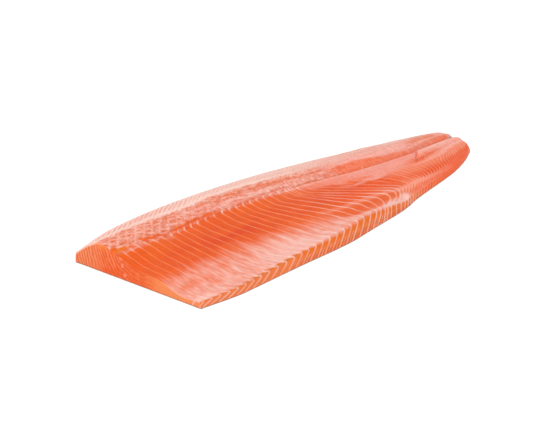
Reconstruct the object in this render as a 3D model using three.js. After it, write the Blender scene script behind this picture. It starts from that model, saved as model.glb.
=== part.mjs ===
// A raw side of salmon: one trimmed fillet, lying skin side down on a flat surface.
//
// Millimetres. The fillet is drawn with its straight head cut at station 0 and its tail at station
// LENGTH along +X, the back (dorsal) edge towards +Y, the belly edge towards -Y and +Z up. At the
// end the geometry is moved so that its origin is the middle of its box, on the resting surface.
//
// The upper surface is one height field over a plan outline. Three lines run from head to tail on
// it: the spine line, where the backbone was cut away, the crest of the thick back muscle, and the
// hollow of the belly flap. Each has its own height profile, and the section between them is a
// smooth curve. Relief is added on top: the frayed row of pin bones, the grooves of the tail, a
// raised strip beside them, the knob where the belly trim ends and the flakes along the belly cut.

import * as THREE from "three";

// ---------------------------------------------------------------------------------------------
// Driving dimensions. A profile is a short list of [station, value] pairs from head to tail.

const LENGTH = 600;

// Plan outline, measured from the X axis.
const BACK_EDGE = [
  [0, 92], [35, 99.5], [105, 104], [250, 96], [430, 72], [520, 54], [575, 43.5], [600, 37.5],
];
const BELLY_EDGE = [
  [0, 92], [60, 100.3], [140, 101.3], [225, 103.6], [290, 98.3], [345, 93.2],
  [372, 88.5], [386, 84.6], [411, 80], [496, 66.2], [530, 57.8], [575, 47.2], [600, 38],
];
const HEAD_CUT_SKEW = 8.3; // the belly corner of the head cut stands this far behind the X = 0 line
const HEAD_CUT_HALF = 92;

// The tail end is blunt with round corners, cut back further at the belly.
const TAIL_ROUND_FROM = 515;
const TAIL_MIDDLE_Y = 2;
const TAIL_CORNER_BACK = 13;
const TAIL_CORNER_BELLY = 21;
const TAIL_CORNER_POWER = 3;
const TAIL_TIP_FALL = 12; // over this length the end rounds down to the skin

// Lines that run along the fillet.
const SPINE_LINE = [
  [0, 25.5], [150, 26.5], [240, 22], [325, 14], [378, 6.5], [445, 1.5], [500, -0.5], [600, 0],
];
const CREST_SHARE = 0.45; // crest position between spine line and back edge
const HOLLOW_SHARE = 0.82; // hollow position between spine line and belly lip

// Heights above the resting surface.
const SPINE_HEIGHT = [
  [0, 27.5], [30, 28.7], [100, 26], [160, 27.6], [260, 25.5],
  [325, 23], [400, 19], [480, 15.5], [560, 12.5], [600, 9.5],
];
const CREST_HEIGHT = [
  [0, 35], [120, 36], [210, 35], [300, 32], [400, 27], [500, 21.5], [570, 15.5], [600, 12],
];
const QUARTER_HEIGHT = [
  [0, 19.5], [60, 21], [150, 22], [325, 20.5], [400, 18.5], [480, 15], [560, 12], [600, 9.5],
];
const HALF_HEIGHT = [[0, 17], [260, 17], [400, 16], [480, 13.5], [560, 10.5], [600, 8.5]];
const HOLLOW_HEIGHT = [
  [0, 7.5], [60, 9], [150, 10.5], [260, 12.5], [325, 12.5], [377, 10.5], [480, 9], [600, 7.5],
];
const LIP_HEIGHT = [
  [0, 8.5], [60, 10.5], [120, 12], [240, 15.3], [290, 16], [335, 12.5], [377, 6.8], [480, 5.8], [600, 4.5],
];
const BACK_SIDE_HEIGHT = [[0, 12], [100, 12], [300, 10], [450, 7.5], [600, 5]];

// Sections.
const LIP_SET_IN = [[0, 1.6], [60, 3.5], [120, 6.5], [240, 12], [290, 12.5], [335, 8], [377, 4], [600, 3.5]];
const LIP_FACE_POWER = 0.8;
const QUARTER_SHARE = 0.25;
const HALF_SHARE = 0.5;
const RISE_SHARE = 0.75; // share of the way from spine line to crest in which the height is gained
const BACK_SIDE_WIDTH = 2.2;
const BACK_FULLNESS = [[0, 1.3], [60, 2.3], [200, 2.5], [350, 2.2], [600, 1.7]]; // power of the fall

// The skin, under the flesh and turned up round its edge.
const SKIN_EDGE = 1.2;
const SKIN_TUCK = 1.4;

// The seams between the flakes, which widen towards the tail: seam k of a line that runs along the
// fillet lies at first + pitch k + growth k^2.
const SPINE_SEAMS = { first: 10, pitch: 10.7, growth: 0.05 };
const LIP_SEAMS = { first: 9, pitch: 11.2, growth: 0.07 };

// Relief.
const FRAY = { to: 250, fade: 45, step: 1.4, sway: 2.4, setBelow: 2.5, width: 1.6, fadeUp: 15 };
const CREST_RIDGE = { height: 0.7, width: 3.2, to: 330, fade: 90 };
const SPINE_GROOVE = { from: 295, full: 370, depth: 2.6, width: 2.6 };
const BAND_SHOULDER = { from: 330, full: 385, offset: 12.5, offsetAtTail: 8, height: 1.3, width: 3.4 };
const STRIP = { from: 250, full: 330, height: 0.9, rise: 5, fallFrom: 23, fallTo: 31 };
const ISLAND = { start: 473, slant: 0.9, height: 1.7, edge: 3.5, top: -3, bottom: -28, bottomAtTail: -14 };
const BELLY_GROOVE = { from: 425, full: 470, share: 0.77, depth: 1.5, width: 4 };
const TRIM_KNOB = { x: 381, y: -77.5, length: 9, width: 5.5, height: 2.1 };
const LIP_FLAKES = { depth: 0.6, width: 5, from: 20, full: 50, fadeFrom: 360, to: 380 };

// Mesh density: rows along the fillet, and columns in each stretch of a section.
const ROW_STEP = 6;
const FINE_ROWS = [
  { from: 0, to: 255, step: 2.9 }, // the frayed edge
  { from: 255, to: 366, step: 4.5 }, // the flakes of the belly cut
  { from: 366, to: 396, step: 3 }, // the end of the belly trim
  { from: 464, to: 506, step: 3 }, // the step of the raised strip
];
const TAIL_ROWS = [588.5, 593, 596.5, 598.8, LENGTH];
const COLUMNS = { lipFace: 2, belly: 12, fray: 1, spine: 3, rise: 4, crest: 2, back: 5, side: 2 };
const SPINE_COLUMNS_TO = 5; // the close columns at the spine line end this far above it
const CREST_COLUMNS_HALF = 3; // and those of the crest lie this far to either side

const FLESH = { color: 0xf08a66, roughness: 0.38, metalness: 0 };

// ---------------------------------------------------------------------------------------------
// Small mathematics.

const clamp01 = (t) => Math.min(1, Math.max(0, t));
const ease = (t) => {
  const c = clamp01(t);
  return c * c * (3 - 2 * c);
};
const bell = (d, width) => Math.exp(-((d / width) ** 2));
const between = (x, from, full) => ease((x - from) / (full - from));

// A smooth curve through [x, value] pairs that never overshoots them (monotone cubic).
function profile(pairs) {
  const xs = pairs.map((p) => p[0]);
  const ys = pairs.map((p) => p[1]);
  const last = xs.length - 1;
  const slopes = xs.slice(1).map((x, i) => (ys[i + 1] - ys[i]) / (x - xs[i]));
  const tangents = xs.map((_, i) => {
    if (i === 0) return slopes[0];
    if (i === last) return slopes[last - 1];
    const [a, b] = [slopes[i - 1], slopes[i]];
    return a * b <= 0 ? 0 : (2 * a * b) / (a + b);
  });
  return (x) => {
    const c = Math.min(xs[last], Math.max(xs[0], x));
    let i = 0;
    while (i < last - 1 && c > xs[i + 1]) i += 1;
    const h = xs[i + 1] - xs[i];
    const t = (c - xs[i]) / h;
    return (
      ys[i] * (1 + 2 * t) * (1 - t) ** 2 +
      tangents[i] * h * t * (1 - t) ** 2 +
      ys[i + 1] * t * t * (3 - 2 * t) +
      tangents[i + 1] * h * t * t * (t - 1)
    );
  };
}

const backEdge = profile(BACK_EDGE);
const bellyEdge = profile(BELLY_EDGE);
const spineLine = profile(SPINE_LINE);
const spineHeight = profile(SPINE_HEIGHT);
const crestHeight = profile(CREST_HEIGHT);
const quarterHeight = profile(QUARTER_HEIGHT);
const halfHeight = profile(HALF_HEIGHT);
const hollowHeight = profile(HOLLOW_HEIGHT);
const lipHeight = profile(LIP_HEIGHT);
const backSideHeight = profile(BACK_SIDE_HEIGHT);
const lipSetIn = profile(LIP_SET_IN);
const backFullness = profile(BACK_FULLNESS);

// ---------------------------------------------------------------------------------------------
// Plan: where a point of a station lies along X. The head cut is slightly oblique, and the tail
// corners are drawn back.

function planX(station, y) {
  const skew = (-HEAD_CUT_SKEW * y) / HEAD_CUT_HALF;
  const edge = y > TAIL_MIDDLE_Y ? backEdge(station) : -bellyEdge(station);
  const corner = y > TAIL_MIDDLE_Y ? TAIL_CORNER_BACK : TAIL_CORNER_BELLY;
  const off = (y - TAIL_MIDDLE_Y) / (edge - TAIL_MIDDLE_Y);
  const round = corner * off ** TAIL_CORNER_POWER * between(station, TAIL_ROUND_FROM, LENGTH);
  return station + skew * (1 - station / LENGTH) - round;
}

// ---------------------------------------------------------------------------------------------
// Section heights, before any relief.

function crestY(station) {
  const spine = spineLine(station);
  return spine + CREST_SHARE * (backEdge(station) - spine);
}

function backHeight(station, y) {
  const crest = crestY(station);
  const spine = spineLine(station);
  const low = spineHeight(station);
  const high = crestHeight(station);
  if (y < crest) return low + (high - low) * ease((y - spine) / (RISE_SHARE * (crest - spine)));
  const fall = clamp01((y - crest) / (backEdge(station) - crest));
  return high - (high - backSideHeight(station)) * fall ** backFullness(station);
}

// Belly side: a smooth curve through the heights at the spine line, at a quarter and half of the
// way out, in the hollow and on the lip; beyond the lip, the cut face down to the skin.
function bellyHeight(station, y) {
  const lipY = lipSetIn(station) - bellyEdge(station);
  const lip = lipHeight(station);
  if (y < lipY) {
    const face = clamp01((y + bellyEdge(station)) / lipSetIn(station));
    return SKIN_EDGE + (lip - SKIN_EDGE) * face ** LIP_FACE_POWER;
  }
  const across = (spineLine(station) - y) / (spineLine(station) - lipY);
  return profile([
    [0, spineHeight(station)],
    [QUARTER_SHARE, quarterHeight(station)],
    [HALF_SHARE, halfHeight(station)],
    [HOLLOW_SHARE, hollowHeight(station)],
    [1, lip],
  ])(across);
}

// ---------------------------------------------------------------------------------------------
// Relief on the upper surface.

// 0 on a seam and 1 in the middle of a flake.
function flakeBulge({ first, pitch, growth }, station) {
  const seam = (Math.sqrt(pitch ** 2 + 4 * growth * (station - first)) - pitch) / (2 * growth);
  return Math.abs(Math.sin(Math.PI * seam));
}

// The edge where the pin bones end is frayed: a low step down to the belly that sways from flake
// to flake, and that fades out upwards.
const frayAmount = (station) => 1 - between(station, FRAY.to, FRAY.to + FRAY.fade);

function frayY(station) {
  const sway = FRAY.sway * frayAmount(station) * flakeBulge(SPINE_SEAMS, station);
  return spineLine(station) - FRAY.setBelow + sway;
}

function frayRelief(station, y) {
  const above = y - frayY(station);
  return FRAY.step * frayAmount(station) * ease(above / FRAY.width) * (1 - ease(above / FRAY.fadeUp));
}

function crestRelief(station, y) {
  const amount = 1 - between(station, CREST_RIDGE.to, CREST_RIDGE.to + CREST_RIDGE.fade);
  return CREST_RIDGE.height * amount * bell(y - crestY(station), CREST_RIDGE.width);
}

// Tail half: a narrow groove along the spine line, the shoulder of the band above it and the
// raised membrane strip below it.
function spineRelief(station, y) {
  const d = y - spineLine(station);
  const groove =
    -SPINE_GROOVE.depth *
    between(station, SPINE_GROOVE.from, SPINE_GROOVE.full) *
    bell(d, SPINE_GROOVE.width);
  const shoulderAt = THREE.MathUtils.lerp(
    BAND_SHOULDER.offset,
    BAND_SHOULDER.offsetAtTail,
    between(station, BAND_SHOULDER.full, LENGTH),
  );
  const shoulder =
    BAND_SHOULDER.height *
    between(station, BAND_SHOULDER.from, BAND_SHOULDER.full) *
    bell(d - shoulderAt, BAND_SHOULDER.width);
  const strip =
    STRIP.height *
    between(station, STRIP.from, STRIP.full) *
    ease(-d / STRIP.rise) *
    (1 - between(-d, STRIP.fallFrom, STRIP.fallTo));
  return groove + shoulder + strip;
}

// A raised strip near the tail that begins with a slanting step.
function islandRelief(station, y) {
  const start = ISLAND.start + ISLAND.slant * (y - ISLAND.bottom);
  const toTail = between(station, ISLAND.start, LENGTH);
  const bottom = THREE.MathUtils.lerp(ISLAND.bottom, ISLAND.bottomAtTail, toTail);
  const along = ease((station - start) / ISLAND.edge);
  const acrossTop = 1 - ease((y - ISLAND.top + ISLAND.edge) / ISLAND.edge);
  const acrossBottom = ease((y - bottom) / ISLAND.edge);
  return ISLAND.height * along * acrossTop * acrossBottom;
}

function bellyGrooveRelief(station, y) {
  const at = spineLine(station) - BELLY_GROOVE.share * (spineLine(station) + bellyEdge(station));
  const amount = between(station, BELLY_GROOVE.from, BELLY_GROOVE.full);
  return -BELLY_GROOVE.depth * amount * bell(y - at, BELLY_GROOVE.width);
}

function knobRelief(station, y) {
  const along = bell(station - TRIM_KNOB.x, TRIM_KNOB.length);
  return TRIM_KNOB.height * along * bell(y - TRIM_KNOB.y, TRIM_KNOB.width);
}

// Along the belly cut each flake bulges a little between the seams.
function lipFlakeRelief(station, y) {
  const lipY = lipSetIn(station) - bellyEdge(station);
  const { depth, width, from, full, fadeFrom, to } = LIP_FLAKES;
  const amount = between(station, from, full) * (1 - between(station, fadeFrom, to));
  return depth * amount * (flakeBulge(LIP_SEAMS, station) - 1) * bell(y - lipY, width);
}

const RELIEFS = [
  frayRelief, crestRelief, spineRelief, islandRelief, bellyGrooveRelief, knobRelief, lipFlakeRelief,
];

// Height of the upper surface, rounded down to the skin at the back edge and at the tail end.
function height(station, y) {
  const plain = y < spineLine(station) ? bellyHeight(station, y) : backHeight(station, y);
  const bellySide = clamp01((y + bellyEdge(station)) / lipSetIn(station));
  const relief = RELIEFS.reduce((sum, part) => sum + part(station, y), 0) * bellySide;
  const intoSide = clamp01((y - backEdge(station) + BACK_SIDE_WIDTH) / BACK_SIDE_WIDTH);
  const intoTip = clamp01((station - LENGTH + TAIL_TIP_FALL) / TAIL_TIP_FALL);
  const round = Math.sqrt(1 - intoSide ** 2) * Math.sqrt(1 - intoTip ** 2);
  return SKIN_EDGE + Math.max(0, plain + relief - SKIN_EDGE) * round;
}

// ---------------------------------------------------------------------------------------------
// The grid of the upper surface.

function rowStations() {
  const rows = [];
  const stepAt = (x) => FINE_ROWS.find((zone) => x >= zone.from && x < zone.to)?.step ?? ROW_STEP;
  for (let x = 0; x < TAIL_ROWS[0] - ROW_STEP / 2; x += stepAt(x)) {
    rows.push(x);
  }
  return rows.concat(TAIL_ROWS);
}

// The Y values of a section, from belly edge to back edge. One column follows the foot of the
// frayed edge, and others lie closer together at the spine line and on the crest.
function sectionColumns(station) {
  const spine = spineLine(station);
  const crest = crestY(station);
  const knots = [
    -bellyEdge(station),
    lipSetIn(station) - bellyEdge(station),
    frayY(station),
    frayY(station) + FRAY.width,
    spine + SPINE_COLUMNS_TO,
    crest - CREST_COLUMNS_HALF,
    crest + CREST_COLUMNS_HALF,
    backEdge(station) - BACK_SIDE_WIDTH,
    backEdge(station),
  ];
  const counts = Object.values(COLUMNS);
  const ys = [knots[0]];
  counts.forEach((count, k) => {
    for (let n = 1; n <= count; n += 1) {
      ys.push(THREE.MathUtils.lerp(knots[k], knots[k + 1], n / count));
    }
  });
  return ys;
}

// ---------------------------------------------------------------------------------------------
// The closed body: upper grid, head cut, turned-up skin edge and flat underside.

function filletGeometry() {
  const rows = rowStations();
  const positions = [];
  const index = [];
  const addPoint = (x, y, z) => positions.push(x, y, z) / 3 - 1;
  const addQuad = (a, b, c, d) => index.push(a, b, c, a, c, d);

  const top = rows.map((station) =>
    sectionColumns(station).map((y) => addPoint(planX(station, y), y, height(station, y))),
  );
  const across = top[0].length;
  for (let i = 0; i < rows.length - 1; i += 1) {
    for (let j = 0; j < across - 1; j += 1) {
      addQuad(top[i][j], top[i + 1][j], top[i + 1][j + 1], top[i][j + 1]);
    }
  }

  // Head cut: the first section, closed along the skin.
  const pointOf = (n) => new THREE.Vector3().fromArray(positions, 3 * n);
  const headOutline = top[0].map((n) => new THREE.Vector2(-pointOf(n).y, pointOf(n).z));
  for (const [a, b, c] of THREE.ShapeUtils.triangulateShape(headOutline.slice().reverse(), [])) {
    const from = (n) => top[0][across - 1 - n];
    index.push(from(a), from(b), from(c));
  }

  // The rim where flesh meets skin, counter-clockwise seen from above.
  const last = rows.length - 1;
  const rim = [
    ...top.map((row) => row[0]),
    ...top[last].slice(1, -1),
    ...top.map((row) => row[across - 1]).reverse(),
  ];
  const sole = rim.map((n, k) => {
    const before = pointOf(rim[(k + rim.length - 1) % rim.length]);
    const after = pointOf(rim[(k + 1) % rim.length]);
    const inward = new THREE.Vector2(before.y - after.y, after.x - before.x).normalize();
    const here = pointOf(n);
    return addPoint(here.x + SKIN_TUCK * inward.x, here.y + SKIN_TUCK * inward.y, 0);
  });
  rim.forEach((n, k) => {
    const next = (k + 1) % rim.length;
    addQuad(sole[k], sole[next], rim[next], n);
  });

  // Underside: a ladder between belly and back edge, then the tail end.
  const backOf = (i) => sole[rim.length - 1 - i];
  for (let i = 0; i < last; i += 1) {
    addQuad(sole[i], backOf(i), backOf(i + 1), sole[i + 1]);
  }
  const tail = sole.slice(last, rim.length - last);
  const tailOutline = tail.map((n) => new THREE.Vector2(pointOf(n).x, pointOf(n).y));
  for (const [a, b, c] of THREE.ShapeUtils.triangulateShape(tailOutline, [])) {
    index.push(tail[a], tail[c], tail[b]);
  }

  const geometry = new THREE.BufferGeometry();
  geometry.setAttribute("position", new THREE.Float32BufferAttribute(positions, 3));
  geometry.setIndex(index);
  return geometry;
}

// Puts the origin in the middle of the box, on the resting surface.
function centred(geometry) {
  geometry.computeBoundingBox();
  const { min, max } = geometry.boundingBox;
  geometry.translate(-(min.x + max.x) / 2, -(min.y + max.y) / 2, -min.z);
  geometry.computeVertexNormals();
  return geometry;
}

const fillet = new THREE.Mesh(centred(filletGeometry()), new THREE.MeshStandardMaterial(FLESH));
fillet.name = "fillet";

const group = new THREE.Group();
group.add(fillet);

export default group;
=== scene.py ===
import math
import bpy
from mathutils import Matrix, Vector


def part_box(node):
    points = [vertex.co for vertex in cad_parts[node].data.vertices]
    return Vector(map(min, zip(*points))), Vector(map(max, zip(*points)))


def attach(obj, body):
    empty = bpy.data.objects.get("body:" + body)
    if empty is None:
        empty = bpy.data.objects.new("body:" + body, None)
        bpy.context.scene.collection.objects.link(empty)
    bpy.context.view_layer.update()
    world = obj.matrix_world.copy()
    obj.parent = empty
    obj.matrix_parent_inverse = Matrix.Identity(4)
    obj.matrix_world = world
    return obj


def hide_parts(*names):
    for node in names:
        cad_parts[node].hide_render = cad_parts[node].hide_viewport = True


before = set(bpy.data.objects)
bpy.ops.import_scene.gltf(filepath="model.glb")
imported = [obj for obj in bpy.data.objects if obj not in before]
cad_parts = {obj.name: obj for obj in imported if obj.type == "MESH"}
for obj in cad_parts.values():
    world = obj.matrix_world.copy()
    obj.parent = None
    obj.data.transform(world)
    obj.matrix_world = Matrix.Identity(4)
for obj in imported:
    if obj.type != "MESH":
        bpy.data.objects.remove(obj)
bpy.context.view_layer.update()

# The looks of a raw side of salmon that lies skin side down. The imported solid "fillet" is
# replaced by one closed mesh of the same form, fine enough for the flakes, the frayed row of pin
# bones and the furrows of the tail. Its three materials are the flesh, the head cut and the skin.
#
# Lengths are in millimetres in the fillet's own directions: station runs from the head cut (0)
# to the tail (LENGTH), Y from belly (-) to back (+), Z up. place() turns them into the frame.

from types import SimpleNamespace as Form

import bmesh
import bpy
import numpy as np
from mathutils import Vector

NODE = "fillet"
MM = 0.001

# --------------------------------------
# The solid's own dimensions. A profile is a list of (station, value) pairs.

LENGTH = 600.0

BACK_EDGE = [(0, 92), (35, 99.5), (105, 104), (250, 96), (430, 72), (520, 54), (575, 43.5), (600, 37.5)]
BELLY_EDGE = [
    (0, 92), (60, 100.3), (140, 101.3), (225, 103.6), (290, 98.3), (345, 93.2),
    (372, 88.5), (386, 84.6), (411, 80), (496, 66.2), (530, 57.8), (575, 47.2), (600, 38),
]
HEAD_CUT_SKEW = 8.3
HEAD_CUT_HALF = 92.0
TAIL_ROUND_FROM = 515.0
TAIL_MIDDLE_Y = 2.0
TAIL_CORNER_BACK = 13.0
TAIL_CORNER_BELLY = 21.0
TAIL_CORNER_POWER = 3.0
TAIL_TIP_FALL = 12.0

SPINE_LINE = [(0, 25.5), (150, 26.5), (240, 22), (325, 14), (378, 6.5), (445, 1.5), (500, -0.5), (600, 0)]
CREST_SHARE = 0.45
HOLLOW_SHARE = 0.82

SPINE_HEIGHT = [
    (0, 27.5), (30, 28.7), (100, 26), (160, 27.6), (260, 25.5),
    (325, 23), (400, 19), (480, 15.5), (560, 12.5), (600, 9.5),
]
CREST_HEIGHT = [(0, 35), (120, 36), (210, 35), (300, 32), (400, 27), (500, 21.5), (570, 15.5), (600, 12)]
QUARTER_HEIGHT = [
    (0, 19.5), (60, 21), (150, 22), (325, 20.5), (400, 18.5), (480, 15), (560, 12), (600, 9.5),
]
HALF_HEIGHT = [(0, 17), (260, 17), (400, 16), (480, 13.5), (560, 10.5), (600, 8.5)]
HOLLOW_HEIGHT = [
    (0, 7.5), (60, 9), (150, 10.5), (260, 12.5), (325, 12.5), (377, 10.5), (480, 9), (600, 7.5),
]
LIP_HEIGHT = [
    (0, 8.5), (60, 10.5), (120, 12), (240, 15.3), (290, 16), (335, 12.5), (377, 6.8), (480, 5.8),
    (600, 4.5),
]
BACK_SIDE_HEIGHT = [(0, 12), (100, 12), (300, 10), (450, 7.5), (600, 5)]

LIP_SET_IN = [(0, 1.6), (60, 3.5), (120, 6.5), (240, 12), (290, 12.5), (335, 8), (377, 4), (600, 3.5)]
LIP_FACE_POWER = 0.8
BACK_SIDE_WIDTH = 2.2
BACK_FULLNESS = [(0, 1.3), (60, 2.3), (200, 2.5), (350, 2.2), (600, 1.7)]
RISE_SHARE = 0.75
SKIN_EDGE = 1.2
SKIN_TUCK = 1.4

CREST_RIDGE = Form(height=0.7, width=3.2, to=330, fade=90)
SPINE_GROOVE = Form(start=295, full=370, depth=2.6, width=2.6)
BAND_SHOULDER = Form(start=330, full=385, offset=12.5, offset_at_tail=8, height=1.3, width=3.4)
STRIP = Form(start=250, full=330, height=0.9, reach=27, rise=5, fall=8)
ISLAND = Form(start=473, slant=0.9, height=1.7, edge=3.5, top=-3, bottom=-28, bottom_at_tail=-14)
BELLY_GROOVE = Form(start=425, full=470, share=0.77, depth=1.5, width=4)
TRIM_KNOB = Form(x=381, y=-77.5, length=9, width=5.5, height=2.1)
FRAY = Form(
    to=250, fade=45, step=1.4, sway=2.4, drift=1.2, drift_size=21, set_below=2.5, width=1.6, fade_up=15,
)
LIP_FLAKES = Form(depth=0.6, width=5, start=20, full=50, fade_from=360, to=380)

# --------------------------------------
# The seams: white sheets between the flakes, seen as lines. A seam of the belly leaves the
# spine line, runs down and tailward to an apex and turns back towards the head at the belly edge.
# It is numbered and placed by the station of that apex.

APEX_SHARE = 0.77  # of the way from spine line to belly edge
FIRST_APEX = 10.5  # of seam 0
SEAM_MM = 11.0  # turns seam numbers into about millimetres
SEAM_PITCH = [
    (0, 11), (60, 12), (110, 13.5), (200, 14), (250, 15.3), (310, 15.5), (345, 17.5), (365, 15),
    (380, 10), (400, 7.5), (600, 7),
]
# The upper and the lower end of a seam lie this far nearer the head than its apex. The shape and
# the power say how it gets there over the shares between.
SEAM_UPPER_REACH = [
    (0, 0), (63, 0), (80, 2), (93, 3.5), (106, 7), (120, 10), (133, 13), (147, 15), (175, 17.5),
    (204, 23), (250, 34), (278, 42), (306, 46), (324, 57), (342, 70), (358, 79), (375, 83), (384, 80),
    (396, 54), (404, 34), (416, 25), (430, 20), (452, 10), (475, -8), (500, -35), (530, -60), (600, -80),
]
SEAM_UPPER_SHAPE = [
    (0, 1), (0.15, 1), (0.3, 0.78), (0.45, 0.5), (0.58, 0.27), (0.68, 0.08), (0.75, 0), (APEX_SHARE, 0),
]
SEAM_LOWER_REACH = [
    (0, 0), (63, 0), (93, -1), (107, -2.5), (120, -4), (147, -5.5), (161, -4.5), (190, -4), (230, -2.5),
    (250, -1), (265, 1), (290, 2), (306, 4), (324, 12), (342, 21), (358, 32), (375, 40), (384, 40),
    (400, 36), (450, 31), (520, 25), (600, 16),
]
SEAM_LOWER_POWER = 1.6
HEAD_SWAY = [(0, -3), (0.12, -2.5), (0.35, -2.5), (0.5, -2.8), (0.77, 0), (1, 0)]  # near the head, by share
TOP_LEAN = [(0, 1), (25, -2), (50, -6), (62, -5), (74, 5), (130, 6), (250, 4), (300, 0)]  # of the upper end
TOP_LEAN_OVER = 11.0
# Down the belly cut a seam first swings towards the tail, then leans back towards the head. The
# peak of the swing is a share of the way down.
SWING = [(0, 5), (90, 6), (125, 5), (155, 3.5), (180, 2.5), (205, 0.5), (600, 0)]
SWING_PEAK = [(0, 0.3), (125, 0.3), (155, 0.22), (205, 0.2), (600, 0.1)]
FACE_SLANT = [
    (0, 13), (60, 16), (120, 17), (169, 20), (210, 21), (250, 24), (290, 21), (312, 13), (345, 8), (600, 6),
]
FACE_SLANT_POWER = 1.15
SEAM_WIDTH = [
    (0, 1.5), (120, 1.7), (230, 2.0), (280, 2.3), (340, 2.4), (390, 2.4), (410, 2.0), (440, 1.5),
    (600, 1.3),
]
CUT_SEAM_WIDTH = 1.9
SEAM_WOBBLE = Form(amount=0.07, length=24, width=18)

# Other lines: the pitch is along the fillet, the run towards the tail for each millimetre of Y.
BACK_STRIPE = Form(pitch=7.8, run=1.4, sway=0.2, width=2.6)
BAND_CROSS = Form(pitch=12.5, run=1.0, sway=0.12, width=2.4)
BAND_RIDGE = Form(pitch=7.5, sway=0.35, width=2.2)
STRIP_GRAIN = Form(pitch=7.0, run=1.96, sway=0.2, width=1.2)
TAIL_STROKE = Form(pitch=4.2, run=1.25, sway=0.45, width=1.4)

# Rows along the fillet, and columns in each stretch of a section.
BODY_ROWS = 392
TIP_ROWS = 10
COLUMNS = {
    "lip face": 12, "lip margin": 10, "belly": 76, "fray": 5, "spine": 8,
    "rise": 26, "crest": 7, "back": 34, "side": 8,
}
LIP_MARGIN = 7.0  # the close columns beside the lip reach this far in
SPINE_MARGIN = 7.0
CREST_MARGIN = 4.0
HEAD_CUT_ROWS = 14
SOLE_COLUMNS = 12

# --------------------------------------
# Small mathematics on arrays.

NOISE_CORNER = (-50, -150)  # of the noise's first cell, outside the plan


def clip(x):
    return np.clip(x, 0, 1)


def ease(t):
    t = clip(t)
    return t * t * (3 - 2 * t)


def between(x, start, full):
    return ease((x - start) / (full - start))


def bell(distance, width):
    return np.exp(-((distance / width) ** 2))


def through(pairs, x):
    """A smooth curve through (x, value) pairs that never overshoots them. A value may be an array."""
    x = np.asarray(x, float)
    knots = [float(k) for k, _ in pairs]
    values = [v + 0 * x for _, v in pairs]
    slopes = [(values[k + 1] - values[k]) / (knots[k + 1] - knots[k]) for k in range(len(knots) - 1)]
    tangents = [slopes[0]]
    for a, b in zip(slopes, slopes[1:]):
        same_way = a * b > 0
        tangents.append(np.where(same_way, 2 * a * b / np.where(same_way, a + b, 1), 0))
    tangents.append(slopes[-1])
    x = np.clip(x, knots[0], knots[-1])
    result = values[0].copy()
    for k, (left, right) in enumerate(zip(knots, knots[1:])):
        h = right - left
        t = (x - left) / h
        piece = (
            values[k] * (1 + 2 * t) * (1 - t) ** 2
            + tangents[k] * h * t * (1 - t) ** 2
            + values[k + 1] * t * t * (3 - 2 * t)
            + tangents[k + 1] * h * t * t * (t - 1)
        )
        result = np.where(x >= left, piece, result)
    return result


def noise(x, y, size_x, size_y, seed):
    """Smooth noise from -1 to 1 over the plan, with cells of the given size. The seed fixes it."""
    u = (x - NOISE_CORNER[0]) / size_x
    v = (y - NOISE_CORNER[1]) / size_y
    i = np.floor(u).astype(int)
    j = np.floor(v).astype(int)
    cells = np.random.default_rng(seed).uniform(-1, 1, (i.max() + 2, j.max() + 2))
    a = ease(u - i)
    b = ease(v - j)
    low = cells[i, j] * (1 - a) + cells[i + 1, j] * a
    high = cells[i, j + 1] * (1 - a) + cells[i + 1, j + 1] * a
    return low * (1 - b) + high * b


# --------------------------------------
# The solid's upper surface, as in its source.


def crest_line(s):
    spine = through(SPINE_LINE, s)
    return spine + CREST_SHARE * (through(BACK_EDGE, s) - spine)


def lip_line(s):
    return through(LIP_SET_IN, s) - through(BELLY_EDGE, s)


def plan_x(s, y):
    skew = -HEAD_CUT_SKEW * y / HEAD_CUT_HALF
    to_back = y > TAIL_MIDDLE_Y
    edge = np.where(to_back, through(BACK_EDGE, s), -through(BELLY_EDGE, s))
    corner = np.where(to_back, TAIL_CORNER_BACK, TAIL_CORNER_BELLY)
    off = (y - TAIL_MIDDLE_Y) / (edge - TAIL_MIDDLE_Y)
    drawn_back = corner * np.abs(off) ** TAIL_CORNER_POWER * between(s, TAIL_ROUND_FROM, LENGTH)
    return s + skew * (1 - s / LENGTH) - drawn_back


def back_height(s, y):
    crest = crest_line(s)
    spine = through(SPINE_LINE, s)
    low = through(SPINE_HEIGHT, s)
    high = through(CREST_HEIGHT, s)
    inner = low + (high - low) * ease((y - spine) / (RISE_SHARE * (crest - spine)))
    out = clip((y - crest) / (through(BACK_EDGE, s) - crest))
    outer = high - (high - through(BACK_SIDE_HEIGHT, s)) * out ** through(BACK_FULLNESS, s)
    return np.where(y < crest, inner, outer)


def face_share(s, y):
    """0 at the foot of the belly cut, 1 at its lip and everywhere inside it."""
    return clip((y + through(BELLY_EDGE, s)) / through(LIP_SET_IN, s))


def belly_height(s, y):
    spine = through(SPINE_LINE, s)
    lip_y = lip_line(s)
    lip = through(LIP_HEIGHT, s)
    across = (spine - y) / (spine - lip_y)
    section = [
        (0, through(SPINE_HEIGHT, s)),
        (0.25, through(QUARTER_HEIGHT, s)),
        (0.5, through(HALF_HEIGHT, s)),
        (HOLLOW_SHARE, through(HOLLOW_HEIGHT, s)),
        (1, lip),
    ]
    cut = SKIN_EDGE + (lip - SKIN_EDGE) * face_share(s, y) ** LIP_FACE_POWER
    return np.where(y < lip_y, cut, through(section, across))


def fray_amount(s):
    return 1 - between(s, FRAY.to, FRAY.to + FRAY.fade)


def per_seam(seam, s, seed):
    """Noise with one value for each whole seam number."""
    return noise(SEAM_MM * seam, s, SEAM_MM, 1000, seed)


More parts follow.
